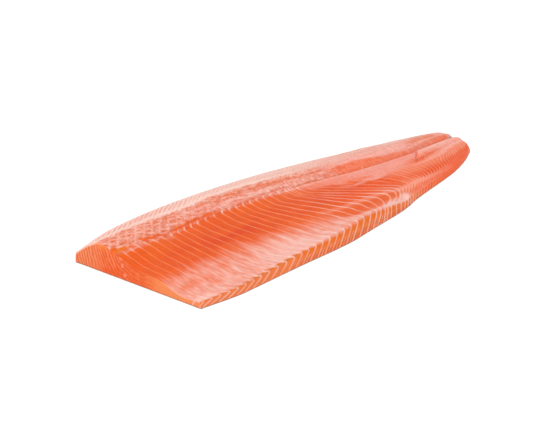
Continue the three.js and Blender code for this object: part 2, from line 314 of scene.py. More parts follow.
def fray_line(s, seam):
    """The foot of the frayed edge, which rises along each flake and drops back at its seam."""
    phase = seam - np.floor(seam)
    swell = ease(phase / 0.8) * (1 - ease((phase - 0.88) / 0.12))
    swell = swell * (0.7 + 0.7 * per_seam(np.floor(seam), s, seed=12))
    drift = FRAY.drift * noise(s, np.zeros_like(s), FRAY.drift_size, 10, seed=13)
    return through(SPINE_LINE, s) - FRAY.set_below + fray_amount(s) * (FRAY.sway * swell + drift)


def back_relief(s, y, seam):
    """The frayed step over the pin bones and the ridge along the crest."""
    above = y - fray_line(s, seam)
    step = FRAY.step * fray_amount(s) * ease(above / FRAY.width) * (1 - ease(above / FRAY.fade_up))
    ridge_amount = 1 - between(s, CREST_RIDGE.to, CREST_RIDGE.to + CREST_RIDGE.fade)
    return step + CREST_RIDGE.height * ridge_amount * bell(y - crest_line(s), CREST_RIDGE.width)


def tail_relief(s, y):
    """The furrow on the spine line, the shoulder of the band above it and the strip below it."""
    d = y - through(SPINE_LINE, s)
    groove_amount = between(s, SPINE_GROOVE.start, SPINE_GROOVE.full)
    groove = -SPINE_GROOVE.depth * groove_amount * bell(d, SPINE_GROOVE.width)
    outward = BAND_SHOULDER.offset_at_tail - BAND_SHOULDER.offset
    shoulder_at = BAND_SHOULDER.offset + outward * between(s, BAND_SHOULDER.full, LENGTH)
    shoulder_amount = between(s, BAND_SHOULDER.start, BAND_SHOULDER.full)
    shoulder = BAND_SHOULDER.height * shoulder_amount * bell(d - shoulder_at, BAND_SHOULDER.width)
    strip = STRIP.height * between(s, STRIP.start, STRIP.full)
    strip = strip * ease(-d / STRIP.rise) * (1 - ease((-d - STRIP.reach) / STRIP.fall + 0.5))
    return groove + shoulder + strip


def island_relief(s, y):
    """The raised island at the end of the strip, with a slanting front."""
    start = ISLAND.start + ISLAND.slant * (y - ISLAND.bottom)
    narrowing = ISLAND.bottom_at_tail - ISLAND.bottom
    bottom = ISLAND.bottom + narrowing * between(s, ISLAND.start, LENGTH)
    island = ISLAND.height * ease((s - start) / ISLAND.edge) * ease((y - bottom) / ISLAND.edge)
    return island * (1 - ease((y - ISLAND.top + ISLAND.edge) / ISLAND.edge))


def belly_relief(s, y, seam):
    """The groove low on the tail, the knob where the trim ends, and a dent of the lip at each seam."""
    spine = through(SPINE_LINE, s)
    groove_at = spine - BELLY_GROOVE.share * (spine + through(BELLY_EDGE, s))
    groove = -BELLY_GROOVE.depth * between(s, BELLY_GROOVE.start, BELLY_GROOVE.full)
    groove = groove * bell(y - groove_at, BELLY_GROOVE.width)
    knob = TRIM_KNOB.height * bell(s - TRIM_KNOB.x, TRIM_KNOB.length)
    knob = knob * bell(y - TRIM_KNOB.y, TRIM_KNOB.width)
    lip_amount = between(s, LIP_FLAKES.start, LIP_FLAKES.full)
    lip_amount = lip_amount * (1 - between(s, LIP_FLAKES.fade_from, LIP_FLAKES.to))
    dent = np.abs(np.sin(np.pi * seam)) - 1
    return groove + knob + LIP_FLAKES.depth * lip_amount * dent * bell(y - lip_line(s), LIP_FLAKES.width)


def solid_relief(s, y, seam):
    return back_relief(s, y, seam) + tail_relief(s, y) + island_relief(s, y) + belly_relief(s, y, seam)


# --------------------------------------
# Seam numbers over the surface.

TABLE_STEP = 0.5
STATION_TABLE = np.arange(-60.0, LENGTH + 160.0, TABLE_STEP)
SEAM_COUNT = np.cumsum(TABLE_STEP / through(SEAM_PITCH, STATION_TABLE))
SEAM_COUNT -= np.interp(FIRST_APEX, STATION_TABLE, SEAM_COUNT)
SOLVER_STEPS = 60


def apex_station(s, share):
    """The apex of the seam through a point at this station and share of the way to the belly edge."""
    upper = through(SEAM_UPPER_SHAPE, share)
    lower = clip((share - APEX_SHARE) / (1 - APEX_SHARE)) ** SEAM_LOWER_POWER
    apex = s.copy()
    upper_reach = through(SEAM_UPPER_REACH, STATION_TABLE)
    lower_reach = through(SEAM_LOWER_REACH, STATION_TABLE)
    for _ in range(SOLVER_STEPS):
        reach = np.interp(apex, STATION_TABLE, upper_reach) * upper
        reach += np.interp(apex, STATION_TABLE, lower_reach) * lower
        apex += 0.5 * (s + reach - apex)
    return apex


def seam_number(s, y):
    """Whole numbers lie on the seams of the belly side."""
    spine = through(SPINE_LINE, s)
    lip = lip_line(s)
    share = (spine - y) / (spine - lip)
    top_lean = through(TOP_LEAN, s) * ease((y - spine + FRAY.set_below + 3) / TOP_LEAN_OVER)
    down = 1 - face_share(s, y)
    peak = through(SWING_PEAK, s)
    swing = through(SWING, s) * (1 - clip(1 - down / peak) ** 2)
    slant = through(FACE_SLANT, s) * clip((down - peak) / (1 - peak)) ** FACE_SLANT_POWER
    sway = through(HEAD_SWAY, share) * (0.4 + 0.6 * between(s, 0, 30)) * (1 - between(s, 110, 160))
    shifted = s - top_lean - sway - swing + slant
    apex = apex_station(shifted, clip(share))
    wobble = SEAM_WOBBLE.amount * noise(s, y, SEAM_WOBBLE.length, SEAM_WOBBLE.width, seed=11)
    return np.interp(apex, STATION_TABLE, SEAM_COUNT) + wobble


# --------------------------------------
# The grid.


def row_stations():
    body_end = LENGTH - TAIL_TIP_FALL
    body = np.linspace(0, body_end, BODY_ROWS + 1)
    tip = body_end + TAIL_TIP_FALL * np.sin(np.linspace(0, np.pi / 2, TIP_ROWS + 1))
    return np.concatenate([body, tip[1:]])


def section_columns(s, fray):
    """Y of each column of the sections at stations s, one row for each station."""
    spine = through(SPINE_LINE, s)
    crest = crest_line(s)
    back = through(BACK_EDGE, s)
    knots = [
        -through(BELLY_EDGE, s), lip_line(s), lip_line(s) + LIP_MARGIN, fray, fray + FRAY.width,
        spine + SPINE_MARGIN, crest - CREST_MARGIN, crest + CREST_MARGIN, back - BACK_SIDE_WIDTH, back,
    ]
    columns = [knots[0]]
    for (stretch, count), low, high in zip(COLUMNS.items(), knots, knots[1:]):
        for n in range(1, count + 1):
            share = math.sin(0.5 * math.pi * n / count) if stretch == "side" else n / count
            columns.append(low + (high - low) * share)
    return np.stack(columns, axis=1)


stations = row_stations()
seam_at_spine = seam_number(stations, through(SPINE_LINE, stations) - FRAY.set_below)
grid_y = section_columns(stations, fray_line(stations, seam_at_spine))
grid_s = np.repeat(stations[:, None], grid_y.shape[1], axis=1)
grid_seam = seam_number(grid_s, grid_y)

spine_y = through(SPINE_LINE, grid_s)
lip_y = lip_line(grid_s)
fray_y = fray_line(grid_s, seam_at_spine[:, None])
belly_share = (spine_y - grid_y) / (spine_y - lip_y)
above_spine = grid_y - spine_y
above_fray = grid_y - fray_y
above_lip = grid_y - lip_y
down_cut = 1 - face_share(grid_s, grid_y)
frayed = fray_amount(grid_s)
seam_mm = SEAM_MM * grid_seam
seam_phase = grid_seam - np.floor(grid_seam)


def along(pairs):
    """A profile's value over the grid."""
    return through(pairs, grid_s)


def rise(start, full):
    """From 0 at one station to 1 at another."""
    return between(grid_s, start, full)


def fall(start, end):
    return 1 - rise(start, end)


def span(start, full, fade, end):
    """A rise and a fall."""
    return rise(start, full) * fall(fade, end)


def spot(x, y, half_length, half_width, wander=0.0):
    """A soft round mark at a station and a Y."""
    return bell(grid_s - x, half_length) * bell(grid_y - y + wander, half_width)


def ripple(size_x, size_y, seed):
    return noise(grid_s, grid_y, size_x, size_y, seed)


def seam_ripple(size_x, size_y, seed):
    """Noise drawn out along the seams, with cells of this size across them and in Y."""
    return noise(seam_mm, grid_y, size_x, size_y, seed)


def stripes(pattern, seed):
    """Numbers of slanting stripes that run across the fillet with the given pitch along it."""
    sway = pattern.sway * ripple(9, 6, seed)
    return (grid_s - pattern.run * grid_y) / pattern.pitch + sway


# --------------------------------------
# Where each kind of flesh lies, and where highlights and shade are painted: shares from 0 to 1 over
# the grid. An edge is given by its Y, if nothing else is said.

# A deeper orange runs along the belly side, at a share of the way from spine line to edge.
DEEP_AT = [(0, 0.28), (100, 0.3), (250, 0.34), (330, 0.4)]
DEEP_AMOUNT = [
    (0, 0.35), (60, 0.6), (120, 0.85), (200, 0.8), (260, 0.6), (330, 0.85), (380, 0.8), (420, 0),
]

# The pale membrane of the belly flap gets its first share over the start, the rest over the depth.
MEMBRANE_FROM = [
    (0, -27), (45, -28), (75, -30), (105, -26), (135, -30), (165, -33), (195, -36), (225, -34),
    (245, -42), (257, -49), (268, -62), (276, -73), (300, -77), (330, -77), (360, -75), (380, -70),
]
MEMBRANE_FIRST = 0.4
MEMBRANE_START = [
    (0, 16), (60, 22), (105, 42), (135, 50), (165, 50), (195, 46), (225, 54), (255, 20), (272, 6),
]
MEMBRANE_DEPTH = [
    (0, 26), (60, 36), (105, 44), (135, 38), (165, 34), (195, 50), (225, 62), (252, 46), (268, 14),
    (300, 7),
]
MEMBRANE_AMOUNT = [
    (0, 0.67), (60, 0.66), (100, 0.74), (135, 0.94), (185, 0.97), (215, 0.86), (245, 0.6),
    (265, 0.6), (285, 0.8), (350, 0.74), (378, 0.8), (386, 0),
]
# Orange shows through it in places: share of it lost, station, Y, half length, half width.
ORANGE_PATCHES = [
    (0.65, 20, -58, 14, 6), (0.55, 46, -67, 9, 9), (0.65, 76, -55, 9, 8), (0.25, 98, -76, 7, 12),
]

# The belly cut shows its own colours from this share of the way down it.
CUT_FROM = [
    (0, 0), (140, 0), (158, 0.08), (175, 0.18), (200, 0.26), (230, 0.25), (280, 0.17), (310, 0.3),
    (340, 0.2), (380, 0),
]

# The pale back, and the band between it and the frayed edge, pink up to near the pale.
PALE_FROM = [
    (0, 56), (75, 56.4), (105, 53.5), (135, 51.5), (165, 53.5), (200, 51), (225, 49), (250, 45),
    (300, 38), (350, 32), (400, 28), (470, 24), (600, 20),
]
PALE_WIDTH = [(0, 5), (90, 5), (140, 8), (200, 9), (300, 12), (400, 22), (600, 18)]
PALENESS = [(0, 0.1), (80, 0.1), (150, 0.55), (240, 0.85), (300, 0.8), (350, 0.7), (400, 0.45), (600, 0.3)]
PALE_END_FROM = [(430, 46), (450, 38), (480, 29), (510, 23), (540, 26), (565, 36), (600, 46)]
BAND_FROM = [
    (0, 37), (20, 34), (34, 27), (44, 34), (60, 34), (75, 28), (90, 32), (105, 35), (140, 34),
    (165, 27), (195, 27), (225, 26), (240, 20), (262, 14), (300, 12), (330, 10),
]
PINK_SHORT_OF_PALE = [(0, 15), (60, 16), (85, 11), (102, 4), (145, 4), (165, 9), (195, 12), (225, 8)]

# The tail: how far the band reaches above the spine line, and the pink strip below that line.
TAIL_BAND_TOP = [
    (330, 8), (350, 11), (380, 13.5), (400, 14), (425, 11), (450, 8), (470, 7.5), (500, 6),
    (530, 7), (560, 9), (600, 8),
]
TAIL_BAND_PINKER = [(430, 0), (480, 0.5), (510, 1), (545, 0.9), (565, 0.3), (600, 0.3)]
STRIP_FOOT = [
    (270, 6), (290, 0), (315, -7), (330, -14), (345, -17), (360, -21), (374, -28), (400, -32),
    (475, -31), (530, -28), (600, -20),
]
STRIP_AMOUNT = [(268, 0), (300, 0.55), (350, 0.8), (375, 1), (600, 1)]
STRIP_SOFTNESS = [(268, 5), (380, 5), (420, 12), (600, 14)]

# Ragged edges, a slow drift, and streaks along the seams.
rag = 2.0 * ripple(9, 5, seed=21) + 1.6 * ripple(3.5, 2.5, seed=22)
flow = ripple(40, 14, seed=23)
streak = 0.6 * seam_ripple(2.6, 16, seed=24) + 0.4 * seam_ripple(5, 24, seed=25)


def cut_zones():
    """The cut along the belly edge, with its shaded lobes, its vivid middle and its low part."""
    begin = along(CUT_FROM) - 0.05 * np.sin(2 * math.pi * seam_phase)
    over_lip = -0.1 * above_lip
    on_cut = ease(np.where(above_lip > 0, over_lip, down_cut - begin) / 0.16 + 0.5)
    near_lip = bell(np.where(above_lip > 0, over_lip, down_cut) - 0.08, 0.13)
    return {
        "cut_face": on_cut * (1 - 0.8 * rise(385, 430)),
        "cut_shade": near_lip * bell(seam_phase - 0.3, 0.25) * span(30, 60, 135, 165),
        "cut_vivid": span(135, 170, 330, 360) * bell(down_cut - 0.4, 0.25) * (down_cut > 0),
        "cut_low": span(120, 170, 385, 430) * ease((down_cut - 0.6) / 0.25),
    }


def membrane_zone(cut_face):
    foot = along(MEMBRANE_FROM) + 3 * flow + 9 * streak * fall(250, 275) + 0.5 * rag
    first = ease((foot - grid_y + 4) / (along(MEMBRANE_START) + 8))
    rest = ease((foot - grid_y) / along(MEMBRANE_DEPTH))
    membrane = (MEMBRANE_FIRST * first + (1 - MEMBRANE_FIRST) * rest) * along(MEMBRANE_AMOUNT)
    for lost, *place in ORANGE_PATCHES:
        membrane *= 1 - lost * spot(*place, wander=rag)
    streaky = 0.35 * streak + 0.45 * seam_ripple(1.8, 7, seed=28)
    membrane *= 1 + streaky * (1 - 0.75 * bell(grid_s - 165, 45))
    return clip(membrane) * (1 - cut_face)


def belly_zones():
    """Deep, light and spine-side orange below the spine line."""
    deep = bell(belly_share - along(DEEP_AT), 0.22) * along(DEEP_AMOUNT)
    return {
        "deep": clip(deep * (0.85 + 0.5 * ripple(30, 12, seed=26) + 0.25 * streak)),
        "light": clip(0.5 * ripple(26, 14, seed=27) + 0.3 * streak),
        "near_spine": ease((belly_share - 0.02) / 0.05) * bell(belly_share, 0.2) * rise(200, 290),
    }


def back_zones():
    """The pale back with its white end and a painted highlight along its crest, and the band below it."""
    pale_from = along(PALE_FROM)
    band = ease((grid_y - along(BAND_FROM) + 1.3 * rag) / 5 + 0.5) * fall(330, 380)
    below_pale = ease((pale_from - along(PINK_SHORT_OF_PALE) - grid_y + 0.7 * rag) / 6 + 0.5)
    white = ease((grid_y - along(PALE_END_FROM) + 0.7 * rag) / 10)
    return {
        "back": ease(above_fray / 2.5) * ease((grid_y - pale_from + rag) / along(PALE_WIDTH) + 0.5),
        "paleness": along(PALENESS) * (1 + 0.2 * flow),
        # painted highlight along the crest
        "crest": bell(grid_y - pale_from - 4 + 0.6 * rag, 2.8) * fall(250, 330),
        "band": band,
        "band_pink": (0.25 + 0.75 * rise(80, 130)) * band * below_pale,
        "pale_end": white * span(425, 460, 552, 575),
    }


def tail_zones():
    """Above the spine line the tail's bands, below it the strip, the raised island and the edge."""
    d = above_spine
    above_band = d - along(TAIL_BAND_TOP)
    upper = rise(320, 385) * ease((above_band + 0.4 * rag) / 3)
    band = rise(325, 385) * ease((d + 0.5) / 2) * (1 - upper)
    above_foot = grid_y - (along(STRIP_FOOT) + 0.5 * rag + 2 * streak * fall(340, 400))
    slant = grid_s - ISLAND.start - ISLAND.slant * (grid_y - ISLAND.bottom)
    on_island = ease((slant - 2) / 3) * ease(above_foot / 4) * ease((-d - 1.5) / 2)
    return {
        "tail_upper": upper,
        "tail_band": band,
        "band_ridge": rise(380, 410) * bell(above_band - 2.2, 1.8),
        "band_pinker": band * along(TAIL_BAND_PINKER),
        "tip": rise(578, 590) * ease((grid_y + 14) / 8),
        "strip": along(STRIP_AMOUNT) * ease(above_foot / along(STRIP_SOFTNESS) + 0.3) * ease(-d / 2.5),
        "island": on_island * rise(470, 490),
        "tail_belly": rise(385, 420) * ease((-d - 1) / 3),
        "tail_edge": rise(378, 395) * ease((11 - above_lip + 0.7 * rag) / 8),
        # painted shade: a dark line in the furrow on the spine line
        "groove": rise(290, 360) * bell(d + 0.9 + 0.3 * rag, 1.4),
        "skin_patch": spot(588, 1, 5, 2.2) + 0.7 * spot(582, -2, 4, 1.2),
    }


def fray_zones():
    """Along the pin bones: crevices with painted shadow, the pink under them, pale hooks at the seams, the
    edge line.
    """
    in_flake = ease((seam_phase - 0.15) / 0.15) * (1 - ease((seam_phase - 0.9) / 0.1))
    spread = ease(0.5 + 1.5 * ripple(19, 60, seed=29))
    # painted shadow under the band's overhanging edge, where the relief also dips
    crevice = rise(30, 60) * frayed * bell(above_fray - 6.5 + 0.6 * rag, 1.1) * spread
    to_seam = SEAM_MM * (seam_phase - np.round(seam_phase))
    knob = 0.55 + 0.45 * per_seam(np.round(grid_seam), grid_s, seed=30)
    hooked = frayed * rise(4, 12) * (1 - 0.6 * rise(105, 150)) * knob
    patchy = ease(0.4 - 1.5 * ripple(15, 60, seed=31))
    return {
        "crevice": crevice * (0.6 + 0.4 * in_flake),
        "under_fray": frayed * bell(above_fray - 1.6, 1.3) * in_flake * patchy,
        "hook": hooked * bell(to_seam, 1.4) * bell(above_fray - 0.6, 3.4),
        "fray_edge": 0.4 * frayed * rise(6, 16) * ease(0.4 + 1.5 * ripple(13, 60, seed=32)),
    }


zone = Form(**cut_zones(), **belly_zones(), **back_zones(), **tail_zones(), **fray_zones())
zone.membrane = membrane_zone(zone.cut_face)

# --------------------------------------
# Fine relief that the solid leaves out, in millimetres.

FLAKE_SWELL = 0.22
CREVICE_DEPTH = 0.8
HOOK_HEIGHT = 0.4
BAND_TEXTURE = 0.5
BACK_RIDGE = 0.15
MEMBRANE_WRINKLE = 0.12
TAIL_FURROW = 0.4


def fine_relief():
    flake = (np.abs(np.sin(np.pi * grid_seam)) ** 0.8 - 0.6) * ease((belly_share - 0.12) / 0.05)
    leaning = grid_s + 0.5 * grid_y
    weave = 0.6 * noise(leaning, grid_y, 13, 3.4, seed=32) + 0.6 * noise(leaning, grid_y, 6, 2.4, seed=33)
    furrows = ripple(60, 4.5, seed=35) + 0.4 * ripple(25, 3, seed=36)
    parts = [
        (FLAKE_SWELL, flake * (1 - 0.6 * zone.membrane) * (1 - 0.8 * rise(400, 450))),
        (-CREVICE_DEPTH, zone.crevice),
        (HOOK_HEIGHT, zone.hook),
        (BAND_TEXTURE, zone.band * (1 - zone.back) * weave),
        (BACK_RIDGE, zone.back * noise(grid_s - grid_y, grid_y, 6, 14, seed=37)),
        (MEMBRANE_WRINKLE, zone.membrane * seam_ripple(4, 9, seed=34)),
        (TAIL_FURROW, span(320, 400, 575, 600) * (1 - zone.tail_belly) * furrows),
    ]
    return sum(height * pattern for height, pattern in parts)


def upper_surface():
    """Height over the grid: the solid's surface and the fine relief, rounded down to the skin."""
    s, y = grid_s, grid_y
    plain = np.where(y < spine_y, belly_height(s, y), back_height(s, y))
    relief = (solid_relief(s, y, grid_seam) + fine_relief()) * face_share(s, y)
    into_side = clip((y - through(BACK_EDGE, s) + BACK_SIDE_WIDTH) / BACK_SIDE_WIDTH)
    into_tip = clip((s - LENGTH + TAIL_TIP_FALL) / TAIL_TIP_FALL)
    rounding = np.sqrt(1 - into_side**2) * np.sqrt(1 - into_tip**2)
    return SKIN_EDGE + np.maximum(0, plain + relief - SKIN_EDGE) * rounding


grid_points = np.stack([plan_x(grid_s, grid_y), grid_y, upper_surface()], axis=2)


def across_slope(values):
    """Slope from column to column, taken apart on the two sides of the lip, which is an edge."""
    lip = COLUMNS["lip face"]
    face = np.gradient(values[:, : lip + 1], axis=1)[:, :-1]
    return np.concatenate([face, np.gradient(values[:, lip:], axis=1)], axis=1)


def spacing(number):
    """Distance on the surface between neighbouring whole numbers of a numbering over the grid."""
    by_row, by_column = np.gradient(number, axis=0), across_slope(number)
    lengthwise = np.gradient(grid_points, axis=0)
    crosswise = across_slope(grid_points)
    e = (lengthwise * lengthwise).sum(axis=2)
    f = (lengthwise * crosswise).sum(axis=2)
    g = (crosswise * crosswise).sum(axis=2)
    steep = g * by_row**2 - 2 * f * by_row * by_column + e * by_column**2
    steep = steep / np.maximum(e * g - f * f, 1e-6)
    return np.clip(1 / np.sqrt(np.maximum(steep, 1e-6)), 1, 40)


# --------------------------------------
# Colours. They are as they look under the studio light. The shader takes them without the pale
# veil that the wet film reflects, and divided by the light's level.

LIGHT_LEVEL = 1.3
WET_VEIL = 0.035
DARKEST = 0.004
PALEST = 0.95

BELLY_ORANGE = (240, 107, 47)
LIGHT_ORANGE = (242, 122, 62)
DEEP_ORANGE = (228, 89, 40)
SPINE_ORANGE = (241, 124, 82)
MEMBRANE_PINK = (249, 189, 176)
TAIL_BELLY_ORANGE = (248, 134, 98)
TAIL_ORANGE = (243, 99, 42)
TAIL_EDGE_ORANGE = (245, 100, 34)
POCKET_ORANGE = (238, 103, 44)
STREAK_PINK = (252, 166, 146)
EDGE_PINK = (253, 176, 160)
# a painted highlight, on top of the raised island
ISLAND_HIGHLIGHT = (255, 198, 187)
LEAN_ORANGE = (239, 130, 90)
DULL_ORANGE = (246, 117, 70)
ISLAND_SHADE = (226, 92, 54)
STRIP_PINK = (250, 156, 138)
ISLAND_PINK = (254, 172, 154)
BAND_ORANGE = (236, 134, 104)
BAND_PINK = (241, 150, 131)
BAND_BROWN = (224, 114, 68)
BAND_GLOW = (253, 190, 174)
HEAD_GOLD = (240, 134, 52)
# painted shadow in the crevices and the furrow, and the dark streaks of the band's weave
SHADOW_AND_STREAK_RED = (214, 92, 46)
# a painted highlight, laid along the crest
CREST_HIGHLIGHT = (254, 220, 206)
BACK_PINK = (242, 160, 139)
BACK_PALE = (246, 199, 186)
BACK_WHITE = (252, 228, 222)
TAIL_PINK = (253, 172, 157)
TAIL_BAND_ORANGE = (251, 134, 100)
RIDGE_PINK = (250, 184, 169)
CUT_ORANGE = (242, 134, 84)
CUT_VIVID = (240, 122, 44)
CUT_LOW = (228, 110, 66)
CUT_SHADE = (210, 122, 58)
CORNER_PALE = (254, 208, 194)
HOOK_PALE = (254, 200, 180)
SKIN_GREY = (176, 134, 138)
SEAM_PEACH = (251, 147, 106)
SEAM_PALE = (255, 214, 202)
HEAD_ORANGE = (231, 99, 48)
HEAD_LIGHT = (250, 146, 102)
HEAD_PEACH = (239, 136, 92)
HEAD_GROOVE = (210, 92, 54)
HEAD_YELLOW = (240, 143, 90)
# a painted highlight, along the head cut's upper edge
HEAD_EDGE_HIGHLIGHT = (252, 214, 200)
SKIN_SILVER = (168, 164, 158)
SKIN_DARK = (92, 98, 104)
SKIN_SPOT = (52, 56, 60)
SKIN_RIM = (188, 116, 86)


def linear(colour):
    """The shader's colour for one that shows as these sRGB values."""
    channels = [c / 255 for c in colour]
    straight = [c / 12.92 if c <= 0.04045 else ((c + 0.055) / 1.055) ** 2.4 for c in channels]
    return tuple(min(PALEST, max(DARKEST, (c - WET_VEIL) / LIGHT_LEVEL)) for c in straight) + (1.0,)


# Soft marks along the fillet, some of them painted highlights or painted shade: Y over station,
# half width, amount over station, colour.
MARKS = [
    ([(0, 31), (22, 31)], 2.6, [(0, 0.6), (15, 0.6), (24, 0), (600, 0)], HEAD_GOLD),
    ([(335, -12), (350, -14), (375, -20), (385, -22)], 3,
     [(328, 0), (345, 0.7), (375, 0.7), (388, 0), (600, 0)], DULL_ORANGE),
    ([(320, -14), (345, -24), (365, -25), (384, -27.5), (395, -29)], 2.2,
     [(315, 0), (340, 0.5), (365, 0.7), (384, 1), (395, 0.3), (402, 0), (600, 0)], EDGE_PINK),
    ([(262, -64), (285, -66), (330, -67), (370, -65)], 7,
     [(256, 0), (268, 0.5), (300, 0.8), (330, 0.7), (365, 0.5), (380, 0), (600, 0)], POCKET_ORANGE),
    ([(295, -36), (345, -38), (360, -40), (385, -41), (400, -42)], 10,
     [(280, 0), (305, 0.55), (345, 0.65), (358, 0.75), (385, 0.8), (398, 0.4), (410, 0), (600, 0)],
     TAIL_ORANGE),
    ([(0, 41), (20, 41.5), (45, 42.5), (60, 45), (100, 44), (160, 43)], 1.1,
     [(0, 0.7), (50, 0.5), (58, 0.2), (95, 0.2), (105, 0.7), (150, 0.7), (170, 0)], BAND_GLOW),
    ([(0, -93), (40, -95)], 11, [(0, 0.9), (16, 0.8), (32, 0)], CORNER_PALE),
    ([(34, 26), (42, 25)], 4, [(32, 0), (36, 0.7), (40, 0.7), (43, 0), (600, 0)], BAND_PINK),
    ([(66, 22), (78, 21)], 4.5, [(64, 0), (69, 0.8), (78, 0.8), (82, 0)], BAND_ORANGE),
    ([(180, 26), (225, 25.5)], 2, [(175, 0), (190, 0.5), (215, 0.6), (232, 0)], BAND_BROWN),
    ([(150, 35), (190, 36), (215, 35), (240, 31), (262, 29), (280, 25), (310, 23)], 2.3,
     [(145, 0), (165, 0.5), (215, 0.5), (235, 0.9), (255, 0.8), (280, 0.6), (310, 0.5), (330, 0), (600, 0)],
     BAND_GLOW),
    ([(225, 41), (255, 38), (272, 36), (284, 36)], 3.2,
     [(215, 0), (230, 0.5), (255, 0.6), (265, 1), (280, 1), (288, 0), (600, 0)], LEAN_ORANGE),
    ([(285, 19), (310, 17), (330, 14)], 2.8,
     [(278, 0), (292, 0.8), (320, 0.7), (340, 0), (600, 0)], BAND_BROWN),
    ([(200, 22.5), (240, 20), (262, 16), (290, 13.5)], 1.6,
     [(185, 0), (205, 0.5), (245, 0.6), (265, 0.8), (285, 0.8), (295, 0), (600, 0)], EDGE_PINK),
    ([(385, -42), (420, -47), (450, -51), (480, -50), (510, -47), (540, -43), (570, -36), (600, -28)], 7,
     [(378, 0), (390, 0.8), (420, 0.6), (450, 1), (510, 0.95), (570, 0.7), (600, 0.5)], TAIL_ORANGE),
    ([(250, -45), (280, -50), (300, -51), (330, -54.5), (360, -57.5), (386, -62.5), (420, -60.5),
      (480, -60.5), (510, -56), (600, -40)], 3.6,
     [(242, 0), (258, 0.35), (280, 0.45), (292, 0.5), (330, 0.5), (370, 0.6), (386, 0.85), (420, 0.75),
      (450, 0.5), (490, 0.3), (520, 0), (600, 0)], STREAK_PINK),
    # Painted highlight along the upper edge of the pink strip, below the spine line.
    ([(290, 12.5), (300, 12), (330, 7), (360, 3.5), (390, 0), (420, -0.5), (450, -2), (480, -5)], 2.4,
     [(282, 0), (300, 0.8), (330, 0.5), (390, 0.8), (420, 0.6), (460, 0.4), (490, 0), (600, 0)], EDGE_PINK),
    # Painted shade: this mark and the two after it darken the raised island's lower side and slanting
    # front.
    ([(440, -24), (480, -23), (520, -20.5), (560, -17)], 6,
     [(435, 0), (450, 0.35), (470, 0.9), (505, 0.9), (525, 0.4), (545, 0), (600, 0)], DULL_ORANGE),
    ([(470, -24), (485, -24), (520, -20.5), (545, -18)], 1.8,
     [(468, 0), (476, 0.4), (505, 0.4), (545, 0)], ISLAND_SHADE),
    ([(466, -29), (502, -4), (506, -2)], 1.8, [(464, 0), (468, 0.9), (500, 0.9), (505, 0)], ISLAND_SHADE),
    ([(455, -32), (480, -31), (510, -30), (540, -25), (570, -18), (600, -12)], 2.6,
     [(450, 0), (475, 0.5), (510, 0.8), (570, 0.6), (600, 0.3)], EDGE_PINK),
    # Painted highlight along the top of the raised island.
    ([(490, -5), (540, -6), (600, -4)], 3,
     [(488, 0), (505, 0.7), (540, 1), (572, 0.6), (588, 0), (600, 0)], ISLAND_HIGHLIGHT),
    # Painted shade: a dark line in the furrow on the spine line.
    ([(470, 0), (600, -0.5)], 1.8, [(465, 0), (480, 0.6), (575, 0.6), (584, 0), (600, 0)], DULL_ORANGE),
    ([(500, 14), (540, 17), (560, 17)], 6.5,
     [(490, 0), (520, 0.9), (560, 1), (575, 0.2), (600, 0)], LEAN_ORANGE),
    ([(555, 38), (600, 34)], 4, [(552, 0), (566, 0.7), (585, 0.2), (600, 0)], LEAN_ORANGE),
]


def mottle():
    """Mottling of the bands, drawn out towards the tail."""
    leaning = grid_s + 0.6 * grid_y
    return 0.7 * noise(leaning, grid_y, 7, 2.2, seed=51) + 0.7 * noise(leaning, grid_y, 3.2, 1.6, seed=52)


def paint():
    """The flesh's colour over the grid, one layer laid on another."""
    light, dark = clip(0.5 * mottle()), clip(-0.5 * mottle())
    strokes = noise(grid_s - 1.2 * grid_y, grid_y, 3.2, 9, seed=53)
    layers = [
        (0.8 * zone.light, LIGHT_ORANGE),
        (zone.deep, DEEP_ORANGE),
        (0.6 * zone.near_spine, SPINE_ORANGE),
        (zone.tail_belly, TAIL_BELLY_ORANGE),
        (0.9 * zone.tail_edge, TAIL_EDGE_ORANGE),
        (zone.membrane, MEMBRANE_PINK),
        (zone.strip, STRIP_PINK),
        (0.85 * zone.island, ISLAND_PINK),
        (zone.band, BAND_ORANGE),
        (0.75 * zone.band_pink, BAND_PINK),
        (zone.band * light, LIGHT_ORANGE),
        (zone.band * dark, RIDGE_PINK),
        (zone.tail_band, TAIL_BAND_ORANGE),
        (0.6 * zone.band_pinker, BAND_PINK),
        (zone.tail_band * light, LEAN_ORANGE),
        (zone.tail_upper, TAIL_PINK),
        (0.7 * zone.band_ridge, RIDGE_PINK),
        (zone.back, BACK_PINK),
        (zone.back * zone.paleness, BACK_PALE),
        (0.3 * zone.back * clip(strokes), RIDGE_PINK),
        # painted highlight along the crest
        (0.85 * zone.crest, CREST_HIGHLIGHT),
        (0.35 * zone.pale_end, BACK_WHITE),
        (0.8 * zone.tip, BACK_PALE),
    ]
    wander = 1.2 * ripple(9, 4, seed=54) + 0.8 * ripple(3.5, 2.5, seed=55)
    for line, half_width, amount, mark in MARKS:
        layers.append((along(amount) * bell(grid_y - along(line) + wander, half_width), mark))
    layers += [
        (zone.cut_face, CUT_ORANGE),
        (0.9 * zone.cut_vivid, CUT_VIVID),
        (0.7 * zone.cut_low, CUT_LOW),
        (0.8 * zone.cut_shade, CUT_SHADE),
        (0.5 * zone.under_fray, BAND_PINK),
        # painted shade in the furrow on the spine line, and painted shadow in the crevices
        (0.75 * zone.groove, SHADOW_AND_STREAK_RED),
        (0.6 * zone.crevice, SHADOW_AND_STREAK_RED),
        (0.85 * zone.hook, HOOK_PALE),
        (0.8 * zone.skin_patch, SKIN_GREY),
    ]
    colour = np.ones(grid_s.shape + (4,)) * linear(BELLY_ORANGE)
    for amount, layer in layers:
        colour += clip(amount)[..., None] * (np.array(linear(layer)) - colour)
    return colour


# --------------------------------------
# Lines on the flesh, in two sets. Each kind of line has a number, a gap between whole numbers, a
# width and a strength over the grid.

